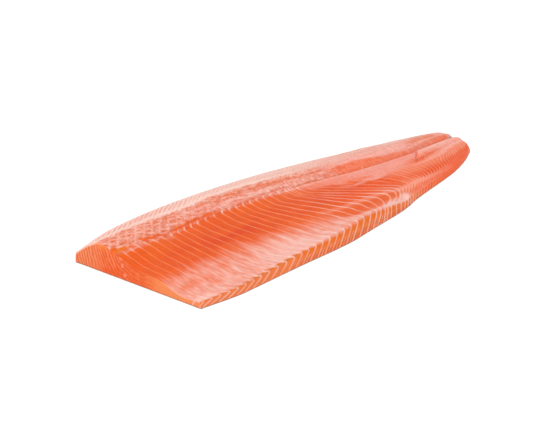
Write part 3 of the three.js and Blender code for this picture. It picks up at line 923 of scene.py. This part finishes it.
SEAM_STRENGTH = [
    (0, 0.75), (60, 0.85), (130, 1), (220, 1), (400, 1), (440, 0.9), (500, 0.75), (600, 0.7),
]
EDGE_SPAN = 400.0  # the frayed edge is a single line, so its neighbours are far away
EDGE_WIDTH = 1.7
BRANCH_WIDTH = 1.1  # of the lines that fork from the seams low on the belly cut
RIDGE_TURN = [(0, 0), (100, 42), (200, 66), (300, 72), (600, 72)]  # to the belly near the head

back, band = zone.back, zone.band
strip, tail_top = zone.strip, zone.tail_upper
fade = 0.8 + 0.2 * ripple(8, 8, seed=61)
broken = ease(0.6 + 1.2 * ripple(5, 4, seed=62))


def seam_strength():
    strength = along(SEAM_STRENGTH) * (1 - strip) * (1 - 0.15 * zone.membrane) * fade
    odd = np.round(grid_seam) % 2
    weaker = [
        (0.35, span(285, 325, 385, 405) * ease((grid_y + 50) / 12)),
        (0.8, odd * span(380, 392, 415, 450) * ease((grid_y + 60) / 5)),
        (0.45, rise(385, 400) * ease((11 - above_lip) / 5)),
        (0.65, spot(284, -9, 20, 13)),
        (0.8, rise(435, 485) * ease((14 - above_lip) / 6)),
        (0.15, ease(down_cut / 0.3) * fall(330, 380)),
    ]
    for share, place in weaker:
        strength *= 1 - share * place
    long_top = ease((5.5 - above_fray) / 4)
    short_top = ease((0.2 - above_fray) / 1.2)
    return np.where(frayed > 0.5, long_top, short_top) * strength


def seam_width():
    width = along(SEAM_WIDTH) * (1 + 0.3 * zone.membrane + 0.9 * bell(above_lip, 3))
    return np.where(down_cut > 0.1, CUT_SEAM_WIDTH, width)


def kind(number, width, strength, gap=None):
    """What one kind of line gives to the four attributes of its set."""
    gap = spacing(number) if gap is None else gap
    return {"number": number, "gap": gap, "width": width, "strength": strength}


def line_set(name, places, kinds):
    """A set's attributes. Each kind of line is drawn in its place, the last one everywhere else."""
    made = {}
    for part in kinds[-1]:
        values = [each[part] for each in kinds]
        made[f"{name}_{part}"] = np.select(places, values[:-1], values[-1])
    return made


def seam_set():
    """The seams and, above the frayed edge, what takes their place."""
    below = above_fray < np.maximum(7 * frayed, 1.2)
    pale = np.maximum(back, tail_top)
    border = 1 - bell(pale - 0.25, 0.1)
    on_back = (1 - 0.5 * rise(150, 220)) * fall(300, 400) * border * (0.8 + 0.2 * fade)
    on_back = on_back * (1 - 0.3 * ease((grid_y - along(BACK_EDGE) + 20) / 10))
    crossing = 0.65 * (0.5 + 0.5 * broken) * border * (1 - 0.8 * rise(110, 170)) * fall(260, 330)
    return line_set("line", [below, pale > 0.25], [
        kind(grid_seam, seam_width(), seam_strength()),
        kind(stripes(BACK_STRIPE, seed=64), BACK_STRIPE.width, on_back),
        kind(stripes(BAND_CROSS, seed=63), BAND_CROSS.width, crossing),
    ])


def grain_set():
    """Grain of the strip, strokes of the tail, forks on the cut, the frayed edge, the band's ridges."""
    in_strip = strip > 0.4
    in_tail = (tail_top > 0.5) & ~in_strip
    at_face = (down_cut > 0.3) & (grid_s > 120) & (grid_s < 340)
    at_fray = (above_fray < 1.8) & ~in_strip & ~in_tail & ~at_face
    stroke = 0.5 * (1 - bell(tail_top - 0.5, 0.2)) * fall(480, 560) * (1 - 0.6 * back)
    fork = 0.5 * (0.5 + 0.5 * broken) * ease((down_cut - 0.4) / 0.3) * span(125, 165, 310, 340)
    ridge = (above_spine + along(RIDGE_TURN)) / BAND_RIDGE.pitch
    ridge = ridge + BAND_RIDGE.sway * ripple(14, 6, seed=65)
    on_band = band * (1 - back) * ease((above_fray - 2.5) / 2) * (1 - zone.tail_band)
    return line_set("grain", [in_strip, in_tail, at_face, at_fray], [
        kind(stripes(STRIP_GRAIN, seed=66), STRIP_GRAIN.width, 0.3 * strip * broken),
        kind(stripes(TAIL_STROKE, seed=67), TAIL_STROKE.width, stroke * broken),
        kind(grid_seam + 0.5, BRANCH_WIDTH, fork),
        kind((above_fray - 0.2) / EDGE_SPAN, EDGE_WIDTH, zone.fray_edge, gap=EDGE_SPAN),
        kind(ridge, BAND_RIDGE.width, 0.65 * on_band * broken),
    ])


def line_pale():
    """How pale the lines of the first set are."""
    amounts = [
        (1, zone.membrane),
        (1, back),
        (0.7, band),
        (0.4, zone.cut_face),
        (0.6, bell(above_lip, 3) * fall(340, 380)),
        (0.7, frayed * bell(above_fray - 1, 4)),
        (0.7, span(262, 285, 385, 400) * bell(grid_y + 0.1 * grid_s + 22, 9)),
        (0.25, rise(200, 300)),
        (0.3, bell(grid_s - 270, 40) * ease((2 - grid_y) / 20)),
        (0.15, rise(390, 430)),
    ]
    return clip(sum(share * place for share, place in amounts))


def lines():
    """The attributes that the flesh's shader reads."""
    streaks = band * (1 - back) + 0.5 * tail_top + 0.4 * zone.tail_band + 0.25 * strip
    return {**seam_set(), **grain_set(), "line_pale": line_pale(), "streaks": streaks}


# --------------------------------------
# The closed mesh.

FLESH, HEAD_CUT, SKIN = 0, 1, 2

# The texture: two strips of the upper surface, the head cut below them and the sole beside them.
UV_MARGIN = 0.004
UV_TOP = Form(u=0.735, v=0.15)  # right edge and lower edge of the two strips
UV_SOLE_FROM = 0.745
HEAD_CUT_REACH = HEAD_CUT_HALF + 1
HEAD_CUT_TOP = grid_points[0, :, 2].max()
SOLE_REACH = 106.0
SOLE_START = -12.0
SOLE_LENGTH = LENGTH + 16.0

SKIN_BEND = (0.15 * SKIN_TUCK, 0.4 * SKIN_EDGE)  # how far in and how high the skin's edge turns


def top_u(share):
    return UV_MARGIN + (UV_TOP.u - UV_MARGIN) * share


class Body:
    """Vertices and faces with the material and the texture place of each face's corners."""

    def __init__(self):
        self.points = [tuple(p) for p in grid_points.reshape(-1, 3)]
        self.depths = [0.0] * len(self.points)  # below the upper edge of the head cut
        self.faces = []
        self.corners = []
        self.materials = []

    def add_point(self, point, depth=0.0):
        self.points.append(tuple(point))
        self.depths.append(depth)
        return len(self.points) - 1

    def add_face(self, indices, uvs, material):
        keep = [k for k, index in enumerate(indices) if index != indices[k - 1]]
        if len(keep) > 2:
            self.faces.append([indices[k] for k in keep])
            self.corners += [uvs[k] for k in keep]
            self.materials.append(material)

    def add_grid(self, index, uv, material):
        """Quads between the rows and columns of a grid of vertex numbers. uv takes row and column."""
        for i in range(len(index) - 1):
            for j in range(len(index[0]) - 1):
                around = [(i, j), (i + 1, j), (i + 1, j + 1), (i, j + 1)]
                corners = [int(index[a][b]) for a, b in around]
                self.add_face(corners, [uv(a, b) for a, b in around], material)

    def add_strip(self, one, other, uv, material):
        """Triangles between two lines of vertices with different counts that run side by side."""
        i = j = 0
        while i < len(one) - 1 or j < len(other) - 1:
            one_left, other_left = i < len(one) - 1, j < len(other) - 1
            one_behind = (i + 1) / (len(one) - 1) <= (j + 1) / (len(other) - 1)
            step_one = one_left and (one_behind or not other_left)
            third = one[i + 1] if step_one else other[j + 1]
            corners = [one[i], other[j], third]
            self.add_face(corners, [uv(n) for n in corners], material)
            i += step_one
            j += not step_one

    def add_ring(self, rim, inward, height):
        """Points inside a rim that runs anticlockwise, at one height."""
        line = np.array([self.points[n][:2] for n in rim])
        way = np.roll(line, -1, axis=0) - np.roll(line, 1, axis=0)
        way /= np.linalg.norm(way, axis=1)[:, None]
        inset = line + inward * np.stack([-way[:, 1], way[:, 0]], axis=1)
        return [self.add_point((x, y, height)) for x, y in inset]

    def head_uv(self, n):
        _, y, z = self.points[n]
        tall = UV_TOP.v - 3 * UV_MARGIN
        return top_u((y + HEAD_CUT_REACH) / (2 * HEAD_CUT_REACH)), UV_MARGIN + tall * z / HEAD_CUT_TOP

    def sole_uv(self, n):
        x, y, _ = self.points[n]
        u = UV_SOLE_FROM + (1 - UV_MARGIN - UV_SOLE_FROM) * (y + SOLE_REACH) / (2 * SOLE_REACH)
        return u, UV_MARGIN + (1 - 2 * UV_MARGIN) * (x - SOLE_START) / SOLE_LENGTH


def add_upper_surface(body, top):
    """The head half lies in the texture's lower strip, the tail half in the upper."""
    across = np.linalg.norm(np.diff(grid_points, axis=1), axis=2).mean(axis=0)
    v = np.concatenate([[0], np.cumsum(across)]) / across.sum()
    split = len(stations) // 2
    half = stations[split]
    tall = (1 - UV_TOP.v) / 2 - UV_MARGIN

    def head_half(i, j):
        return top_u(stations[i] / half), UV_TOP.v + tall * v[j]

    def tail_half(i, j):
        u = top_u((stations[i + split] - half) / (LENGTH - half))
        return u, UV_TOP.v + tall + UV_MARGIN + tall * v[j]

    body.add_grid(top[: split + 1], head_half, FLESH)
    body.add_grid(top[split:], tail_half, FLESH)


def add_head_cut(body, top):
    """Adds the cut face, down to the skin. Gives the vertices at its foot without the two ends."""
    cut = [list(top[0])]
    for k in range(1, HEAD_CUT_ROWS + 1):
        row = []
        for x, y, z in grid_points[0, 1:-1]:
            depth = (z - SKIN_EDGE) * k / HEAD_CUT_ROWS
            row.append(body.add_point((x, y, z - depth), depth))
        cut.append([int(top[0, 0])] + row + [int(top[0, -1])])
    body.add_grid(cut, lambda i, j: body.head_uv(cut[i][j]), HEAD_CUT)
    return row


def add_skin(body, top, head_end):
    """The skin turns in under the edge and closes the mesh with a flat sole."""
    rows, columns = top.shape
    rim = [int(n) for n in (*top[:, 0], *top[-1, 1:-1], *top[::-1, -1], *head_end[::-1])]
    rings = [rim, body.add_ring(rim, *SKIN_BEND), body.add_ring(rim, SKIN_TUCK, 0.0)]
    for outer, inner in zip(rings, rings[1:]):
        for k in range(len(rim)):
            around = [outer[k], inner[k], inner[k - 1], outer[k - 1]]
            body.add_face(around, [body.sole_uv(n) for n in around], SKIN)

    counts = np.cumsum([rows, columns - 2, rows])
    belly, tail, back, head = (part.tolist() for part in np.split(np.array(rings[-1]), counts))
    back, head = back[::-1], head[::-1]
    ladder = []
    for left, right in zip(belly[1:-1], back[1:-1]):
        a, b = np.array(body.points[left]), np.array(body.points[right])
        inner = [body.add_point(a + (b - a) * k / SOLE_COLUMNS) for k in range(1, SOLE_COLUMNS)]
        ladder.append([left] + inner + [right])
    body.add_grid(ladder, lambda i, j: body.sole_uv(ladder[i][j]), SKIN)
    body.add_strip([belly[0]] + head + [back[0]], ladder[0], body.sole_uv, SKIN)
    body.add_strip([belly[-1]] + tail + [back[-1]], ladder[-1], body.sole_uv, SKIN)


def build_body():
    body = Body()
    top = np.arange(grid_y.size).reshape(grid_y.shape)
    add_upper_surface(body, top)
    head_end = add_head_cut(body, top)
    add_skin(body, top, head_end)
    return body


def place(points):
    """From millimetres in the fillet's own directions to the frame."""
    points = np.array(points)
    low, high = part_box(NODE)
    middle = 0.5 * (points.min(axis=0) + points.max(axis=0))
    shift = 0.5 * (np.array(low) + np.array(high)) - MM * middle
    shift[2] = low.z
    return MM * points + shift


def add_attribute(mesh, name, values, data_type="FLOAT", field="value"):
    """Values for the first vertices, and zeros for the rest."""
    padded = np.zeros((len(mesh.vertices),) + values.shape[1:], np.float32)
    padded[: len(values)] = values
    mesh.attributes.new(name, data_type, "POINT").data.foreach_set(field, padded.ravel())


def sharpen_borders(mesh):
    """Smooth shading, with sharp edges between two materials."""
    editing = bmesh.new()
    editing.from_mesh(mesh)
    bmesh.ops.recalc_face_normals(editing, faces=editing.faces)
    for face in editing.faces:
        face.smooth = True
    for edge in editing.edges:
        first, second = edge.link_faces
        edge.smooth = first.material_index == second.material_index
    editing.to_mesh(mesh)
    editing.free()


def make_piece(materials):
    body = build_body()
    mesh = bpy.data.meshes.new("salmon_side")
    mesh.from_pydata([tuple(p) for p in place(body.points)], [], body.faces)
    uv_map = mesh.uv_layers.new(name="OFBake")
    uv_map.data.foreach_set("uv", np.array(body.corners, np.float32).ravel())
    mesh.polygons.foreach_set("material_index", body.materials)
    for material in materials:
        mesh.materials.append(material)
    for name, values in lines().items():
        add_attribute(mesh, name, values.ravel())
    add_attribute(mesh, "below_edge", np.array(body.depths))
    add_attribute(mesh, "flesh_colour", paint().reshape(-1, 4), "FLOAT_COLOR", "color")
    sharpen_borders(mesh)
    piece = bpy.data.objects.new("salmon_side", mesh)
    bpy.context.scene.collection.objects.link(piece)
    return piece


# --------------------------------------
# Materials. Places in them are in millimetres.


class Nodes:
    """Short calls for the shader nodes used here."""

    def __init__(self, name, **values):
        self.material = bpy.data.materials.new(name)
        self.material.use_nodes = True
        self.tree = self.material.node_tree
        self.shader = self.tree.nodes["Principled BSDF"]
        self.surface(**values)

    def surface(self, **values):
        """Sets inputs of the shader. A name has underscores for its spaces."""
        for name, value in values.items():
            self.set(self.shader.inputs[name.replace("_", " ")], value)

    def add(self, kind, inputs=None, **settings):
        made = self.tree.nodes.new(kind)
        for name, value in settings.items():
            setattr(made, name, value)
        for name, value in (inputs or {}).items():
            self.set(made.inputs[name], value)
        return made

    def set(self, socket, value):
        if isinstance(value, bpy.types.NodeSocket):
            self.tree.links.new(value, socket)
        else:
            socket.default_value = value

    def attribute(self, name, output="Fac"):
        return self.add("ShaderNodeAttribute", attribute_name=name).outputs[output]

    def math(self, operation, first, second=0.0, third=0.0, clamp=False):
        made = self.add("ShaderNodeMath", operation=operation, use_clamp=clamp)
        for socket, value in zip(made.inputs, (first, second, third)):
            self.set(socket, value)
        return made.outputs[0]

    def plus(self, first, second):
        return self.math("ADD", first, second)

    def minus(self, first, second):
        return self.math("SUBTRACT", first, second)

    def times(self, first, second):
        return self.math("MULTIPLY", first, second)

    def over(self, first, second):
        return self.math("DIVIDE", first, second)

    def wave(self, number):
        """1 on the whole numbers and 0 halfway between them."""
        turned = self.math("COSINE", self.times(number, 2 * math.pi))
        return self.math("MULTIPLY_ADD", turned, 0.5, third=0.5)

    def mix(self, amount, first, second):
        inputs = {"Factor": amount, "A": first, "B": second}
        return self.add("ShaderNodeMix", inputs, data_type="RGBA").outputs["Result"]

    def layers(self, colour, layers):
        """Colours laid on a first one, each by its amount."""
        for amount, layer in layers:
            colour = self.mix(amount, colour, linear(layer))
        return colour

    def ramp(self, value, low, high, to_low=0.0, to_high=1.0):
        made = self.add("ShaderNodeMapRange", interpolation_type="SMOOTHSTEP")
        for socket, number in zip(made.inputs[:5], (value, low, high, to_low, to_high)):
            self.set(socket, number)
        return made.outputs[0]

    def here(self):
        return self.add("ShaderNodeTexCoord").outputs["Object"]

    def position(self):
        """Y and Z in the frame."""
        where = self.add("ShaderNodeSeparateXYZ", {"Vector": self.here()})
        return self.over(where.outputs["Y"], MM), self.over(where.outputs["Z"], MM)

    def texture(self, kind, cell, offset=0.0):
        """A solid texture with cells of this size along X, Y and Z."""
        scale = [1 / (side * MM) for side in cell]
        inputs = {"Vector": self.here(), "Location": (offset,) * 3, "Scale": scale}
        mapping = self.add("ShaderNodeMapping", inputs)
        return self.add(kind, {"Vector": mapping.outputs[0], "Scale": 1.0})

    def noise(self, size, detail=2.0, stretch=(1, 1, 1), offset=0.0):
        """Noise about 0.5 with features of this size, longer along an axis by its stretch."""
        made = self.texture("ShaderNodeTexNoise", [size * k for k in stretch], offset)
        self.set(made.inputs["Detail"], detail)
        return made.outputs["Fac"]

    def lines(self, name):
        """How much a point shows a line of the named set. Lines lie on the whole numbers."""
        number = self.attribute(name + "_number")
        whole = self.math("ROUND", number)
        away = self.math("ABSOLUTE", self.minus(number, whole))
        distance = self.times(away, self.attribute(name + "_gap"))
        share = self.over(distance, self.attribute(name + "_width"))
        profile = self.ramp(share, LINE.begin, LINE.full)
        each = self.add("ShaderNodeTexWhiteNoise", noise_dimensions="1D")
        self.set(each.inputs["W"], whole)
        varied = self.ramp(each.outputs["Value"], 0.0, 1.0, LINE.least, 1.0)
        strength = self.times(self.attribute(name + "_strength"), varied)
        return self.math("MULTIPLY", profile, strength, clamp=True)

    def bump(self, height, depth):
        made = self.add("ShaderNodeBump", {"Distance": depth * MM, "Height": height})
        self.surface(Normal=made.outputs[0])


# Raw flesh: light enters it, red deepest, under a thin wet film.
MOIST = {
    "Subsurface_Weight": 0.3, "Subsurface_Radius": (1.0, 0.35, 0.2), "Subsurface_Scale": 3 * MM,
    "Specular_IOR_Level": 0.15,
}
LINE = Form(begin=0.75, full=0.2, least=0.7)  # shares of the width, and the strength of the weakest
FIBRE = Form(size=2.4, stretch=(1, 4, 1), darkest=0.93, lightest=1.07)
WEAVE = Form(
    size=2.6, strength=0.3, ways=((3.2, 1, 2), (1, 3.2, 2)), dark=(0.46, 0.34), pale=(0.54, 0.66),
)
FLESH_ROUGHNESS = (0.34, 0.46)
FLESH_BUMP = 0.15
SPECK_SIZE = 1.6


def flesh_material():
    n = Nodes("salmon_flesh", **MOIST)
    fibres = n.noise(FIBRE.size, detail=3, stretch=FIBRE.stretch)
    specks = n.noise(SPECK_SIZE, detail=2)
    colour = n.attribute("flesh_colour", "Color")
    in_band = n.attribute("streaks")
    for stretch in WEAVE.ways:
        streaks = n.noise(WEAVE.size, detail=3, stretch=stretch, offset=5.0)
        dark = n.times(in_band, n.ramp(streaks, *WEAVE.dark, 0.0, WEAVE.strength))
        pale = n.times(in_band, n.ramp(streaks, *WEAVE.pale, 0.0, WEAVE.strength))
        # the weave's dark streaks use the red that also paints shadow
        colour = n.layers(colour, [(dark, SHADOW_AND_STREAK_RED), (pale, SEAM_PALE)])
    line_colour = n.mix(n.attribute("line_pale"), linear(SEAM_PEACH), linear(SEAM_PALE))
    colour = n.layers(colour, [(n.times(n.lines("grain"), 0.8), SEAM_PALE)])
    seam = n.lines("line")
    colour = n.mix(seam, colour, line_colour)

    value = n.ramp(fibres, 0.25, 0.75, FIBRE.darkest, FIBRE.lightest)
    shade = n.add("ShaderNodeHueSaturation", {"Value": value, "Color": colour})
    n.surface(Base_Color=shade.outputs[0], Roughness=n.ramp(specks, 0.3, 0.7, *FLESH_ROUGHNESS))
    n.bump(n.plus(n.times(fibres, 0.5), n.times(seam, 0.4)), FLESH_BUMP)
    return n.material


# The rings of the loin on the head cut lie around a point above the spine line, drawn out upwards.
RINGS = Form(y=8.0, z=42.0, upright=0.55, pitch=4.3, sway=0.25, sway_size=14)
SEPTUM_MARKS = [(20.5, 26.5, 3.0, 3.4), (18.5, 17.5, 1.8, 2.8), (15.5, 6.8, 2.2, 2.2)]  # y, z, half sizes
FLAP_LINES = Form(pitch=5.0, sway=1.5, sway_size=14)
CORNER_LINES = [(-80.0, 1.0), (-90.5, 1.5)]  # y at the foot, half width
CORNER_LINE_LEAN = 0.5
PATCH_SIZE = 7
CUT_ROUGHNESS = 0.42
CUT_BUMP = 0.12
CUT_GRAIN = Form(size=2.2, stretch=(1, 1, 2))


def head_cut_material():
    n = Nodes("salmon_head_cut", **MOIST)
    low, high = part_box(NODE)
    y, z = n.position()
    y = n.minus(y, 0.5 * (low.y + high.y) / MM)
    below = n.attribute("below_edge")
    patches = n.noise(PATCH_SIZE, detail=2, offset=2.0)

    across, up = n.minus(y, RINGS.y), n.minus(z, RINGS.z)
    away = n.times(n.times(up, up), RINGS.upright)
    away = n.math("SQRT", n.math("MULTIPLY_ADD", across, across, away))
    sway = n.ramp(n.noise(RINGS.sway_size), 0.3, 0.7, -RINGS.sway, RINGS.sway)
    ring = n.wave(n.plus(n.over(away, RINGS.pitch), sway))
    in_loin = n.ramp(y, 16, 26)
    shown = n.times(n.ramp(patches, 0.3, 0.6, 0.5, 1.0), n.ramp(z, 4, 17, 0.45, 1.0))
    rings = n.times(n.ramp(ring, 0.35, 0.95), n.times(in_loin, shown))
    grooves = n.times(n.ramp(ring, 0.4, 0.05), n.ramp(y, 50, 66))
    sway = n.ramp(n.noise(FLAP_LINES.sway_size), 0.3, 0.7, -FLAP_LINES.sway, FLAP_LINES.sway)
    flap = n.times(n.wave(n.over(n.plus(below, sway), FLAP_LINES.pitch)), n.minus(1.0, in_loin))
    near_top = n.times(n.ramp(z, 24, 34), n.ramp(y, 30, 48))
    # A painted highlight along the cut's upper edge, on the back side.
    rim = n.times(n.ramp(below, 3.4, 0.8), n.ramp(y, 44, 64))
    membrane = n.times(n.ramp(below, 2.4, 0.3), n.ramp(y, -34, -50))

    layers = [
        (n.ramp(y, -6, -42), HEAD_YELLOW),
        (n.times(near_top, 0.9), HEAD_GOLD),
        (n.ramp(y, 42, 68), HEAD_PEACH),
        (n.ramp(patches, 0.45, 0.75, 0.0, 0.3), HEAD_LIGHT),
        (n.times(rings, 0.75), HEAD_LIGHT),
        (n.times(grooves, 0.65), HEAD_GROOVE),
        (n.times(flap, 0.3), HEAD_LIGHT),
    ]
    for mark_y, mark_z, half_width, half_height in SEPTUM_MARKS:
        across = n.over(n.minus(y, mark_y), half_width)
        up = n.over(n.minus(z, mark_z), half_height)
        away = n.plus(n.times(across, across), n.times(up, up))
        layers.append((n.ramp(away, 1.6, 0.0, 0.0, 0.5), EDGE_PINK))
    for foot_y, half_width in CORNER_LINES:
        across = n.math("ABSOLUTE", n.minus(y, n.minus(foot_y, n.times(z, CORNER_LINE_LEAN))))
        layers.append((n.ramp(across, 1.6 * half_width, 0.2, 0.0, 0.6), SEAM_PALE))
    layers += [
        (n.times(rim, 0.8), HEAD_EDGE_HIGHLIGHT),
        (n.times(membrane, 0.6), MEMBRANE_PINK),
        (n.ramp(z, 1.9, SKIN_EDGE, 0.0, 0.6), SKIN_RIM),
    ]
    n.surface(Base_Color=n.layers(linear(HEAD_ORANGE), layers), Roughness=CUT_ROUGHNESS)
    grain = n.noise(CUT_GRAIN.size, detail=2, stretch=CUT_GRAIN.stretch)
    n.bump(n.plus(n.times(grain, 0.5), rings), CUT_BUMP)
    return n.material


SCALE_CELL = (4.5, 3.2, 1000.0)
SPOT_SIZE = 9
SKIN_ROUGHNESS = (0.3, 0.5)
SCALE_BUMP = 0.3


def skin_material():
    n = Nodes("salmon_skin")
    _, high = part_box(NODE)
    y, z = n.position()
    distance = n.texture("ShaderNodeTexVoronoi", SCALE_CELL).outputs["Distance"]
    to_back = n.ramp(y, -0.1 * high.y / MM, 0.7 * high.y / MM)
    edge = n.ramp(distance, 0.25, 0.6)
    spots = n.ramp(n.noise(SPOT_SIZE, detail=1), 0.66, 0.7)
    colour = n.layers(linear(SKIN_SILVER), [
        (to_back, SKIN_DARK),
        (n.times(edge, 0.45), SKIN_DARK),
        (n.times(spots, to_back), SKIN_SPOT),
        (n.ramp(z, 0.0, SKIN_BEND[1]), SKIN_RIM),
    ])
    n.surface(
        Base_Color=colour,
        Metallic=n.ramp(z, 0.0, SKIN_BEND[1], 0.25, 0.0),
        Roughness=n.ramp(edge, 0.0, 1.0, *SKIN_ROUGHNESS),
    )
    n.bump(n.minus(1.0, distance), SCALE_BUMP)
    return n.material


piece = make_piece([flesh_material(), head_cut_material(), skin_material()])
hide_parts(NODE)
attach(piece, "root")

# --------------------------------------
# Studio: pale floor, white surroundings, one large soft light, and the camera. In metres.

FLOOR = Form(half=12.0, z=-0.0002, shade=0.9, glow=0.15)
SURROUNDINGS = 0.85
CAMERA = Form(
    azimuth=-47.5, elevation=24.0, distance=1.5, aim=(-0.0666, 0.0056, 0.0), lens=81.18,
)
KEY_LIGHT = Form(azimuth=-75.0, elevation=55.0, distance=5.0, size=3.75, power=165.0)
WHITE = (1, 1, 1, 1)


def aimed(data, settings, target=(0, 0, 0)):
    """A camera or a light that looks at the target. Azimuth 0 looks along +Y."""
    a = math.radians(settings.azimuth)
    e = math.radians(settings.elevation)
    away = Vector((math.sin(a) * math.cos(e), -math.cos(a) * math.cos(e), math.sin(e)))
    made = bpy.data.objects.new(data.name, data)
    made.location = Vector(target) + away * settings.distance
    made.rotation_euler = (-away).to_track_quat("-Z", "Y").to_euler()
    bpy.context.scene.collection.objects.link(made)
    return made


def make_floor():
    half = FLOOR.half
    corners = [(x * half, y * half, FLOOR.z) for x, y in ((-1, -1), (1, -1), (1, 1), (-1, 1))]
    mesh = bpy.data.meshes.new("floor")
    mesh.from_pydata(corners, [], [(0, 1, 2, 3)])
    shade = (FLOOR.shade,) * 3 + (1,)
    n = Nodes("pale_floor", Base_Color=shade, Roughness=0.9, Specular_IOR_Level=0.0)
    n.surface(Emission_Color=WHITE, Emission_Strength=FLOOR.glow)
    mesh.materials.append(n.material)
    floor = bpy.data.objects.new("floor", mesh)
    bpy.context.scene.collection.objects.link(floor)


def make_light():
    world = bpy.data.worlds.new("studio")
    world.use_nodes = True
    background = world.node_tree.nodes["Background"]
    background.inputs["Color"].default_value = WHITE
    background.inputs["Strength"].default_value = SURROUNDINGS
    bpy.context.scene.world = world
    key = bpy.data.lights.new("key", "AREA")
    key.shape = "DISK"
    key.size = KEY_LIGHT.size
    key.energy = KEY_LIGHT.power
    aimed(key, KEY_LIGHT)


def make_camera():
    data = bpy.data.cameras.new("camera")
    data.lens = CAMERA.lens
    bpy.context.scene.camera = aimed(data, CAMERA, CAMERA.aim)


make_floor()
make_light()
make_camera()
bpy.context.scene.view_settings.view_transform = "Standard"
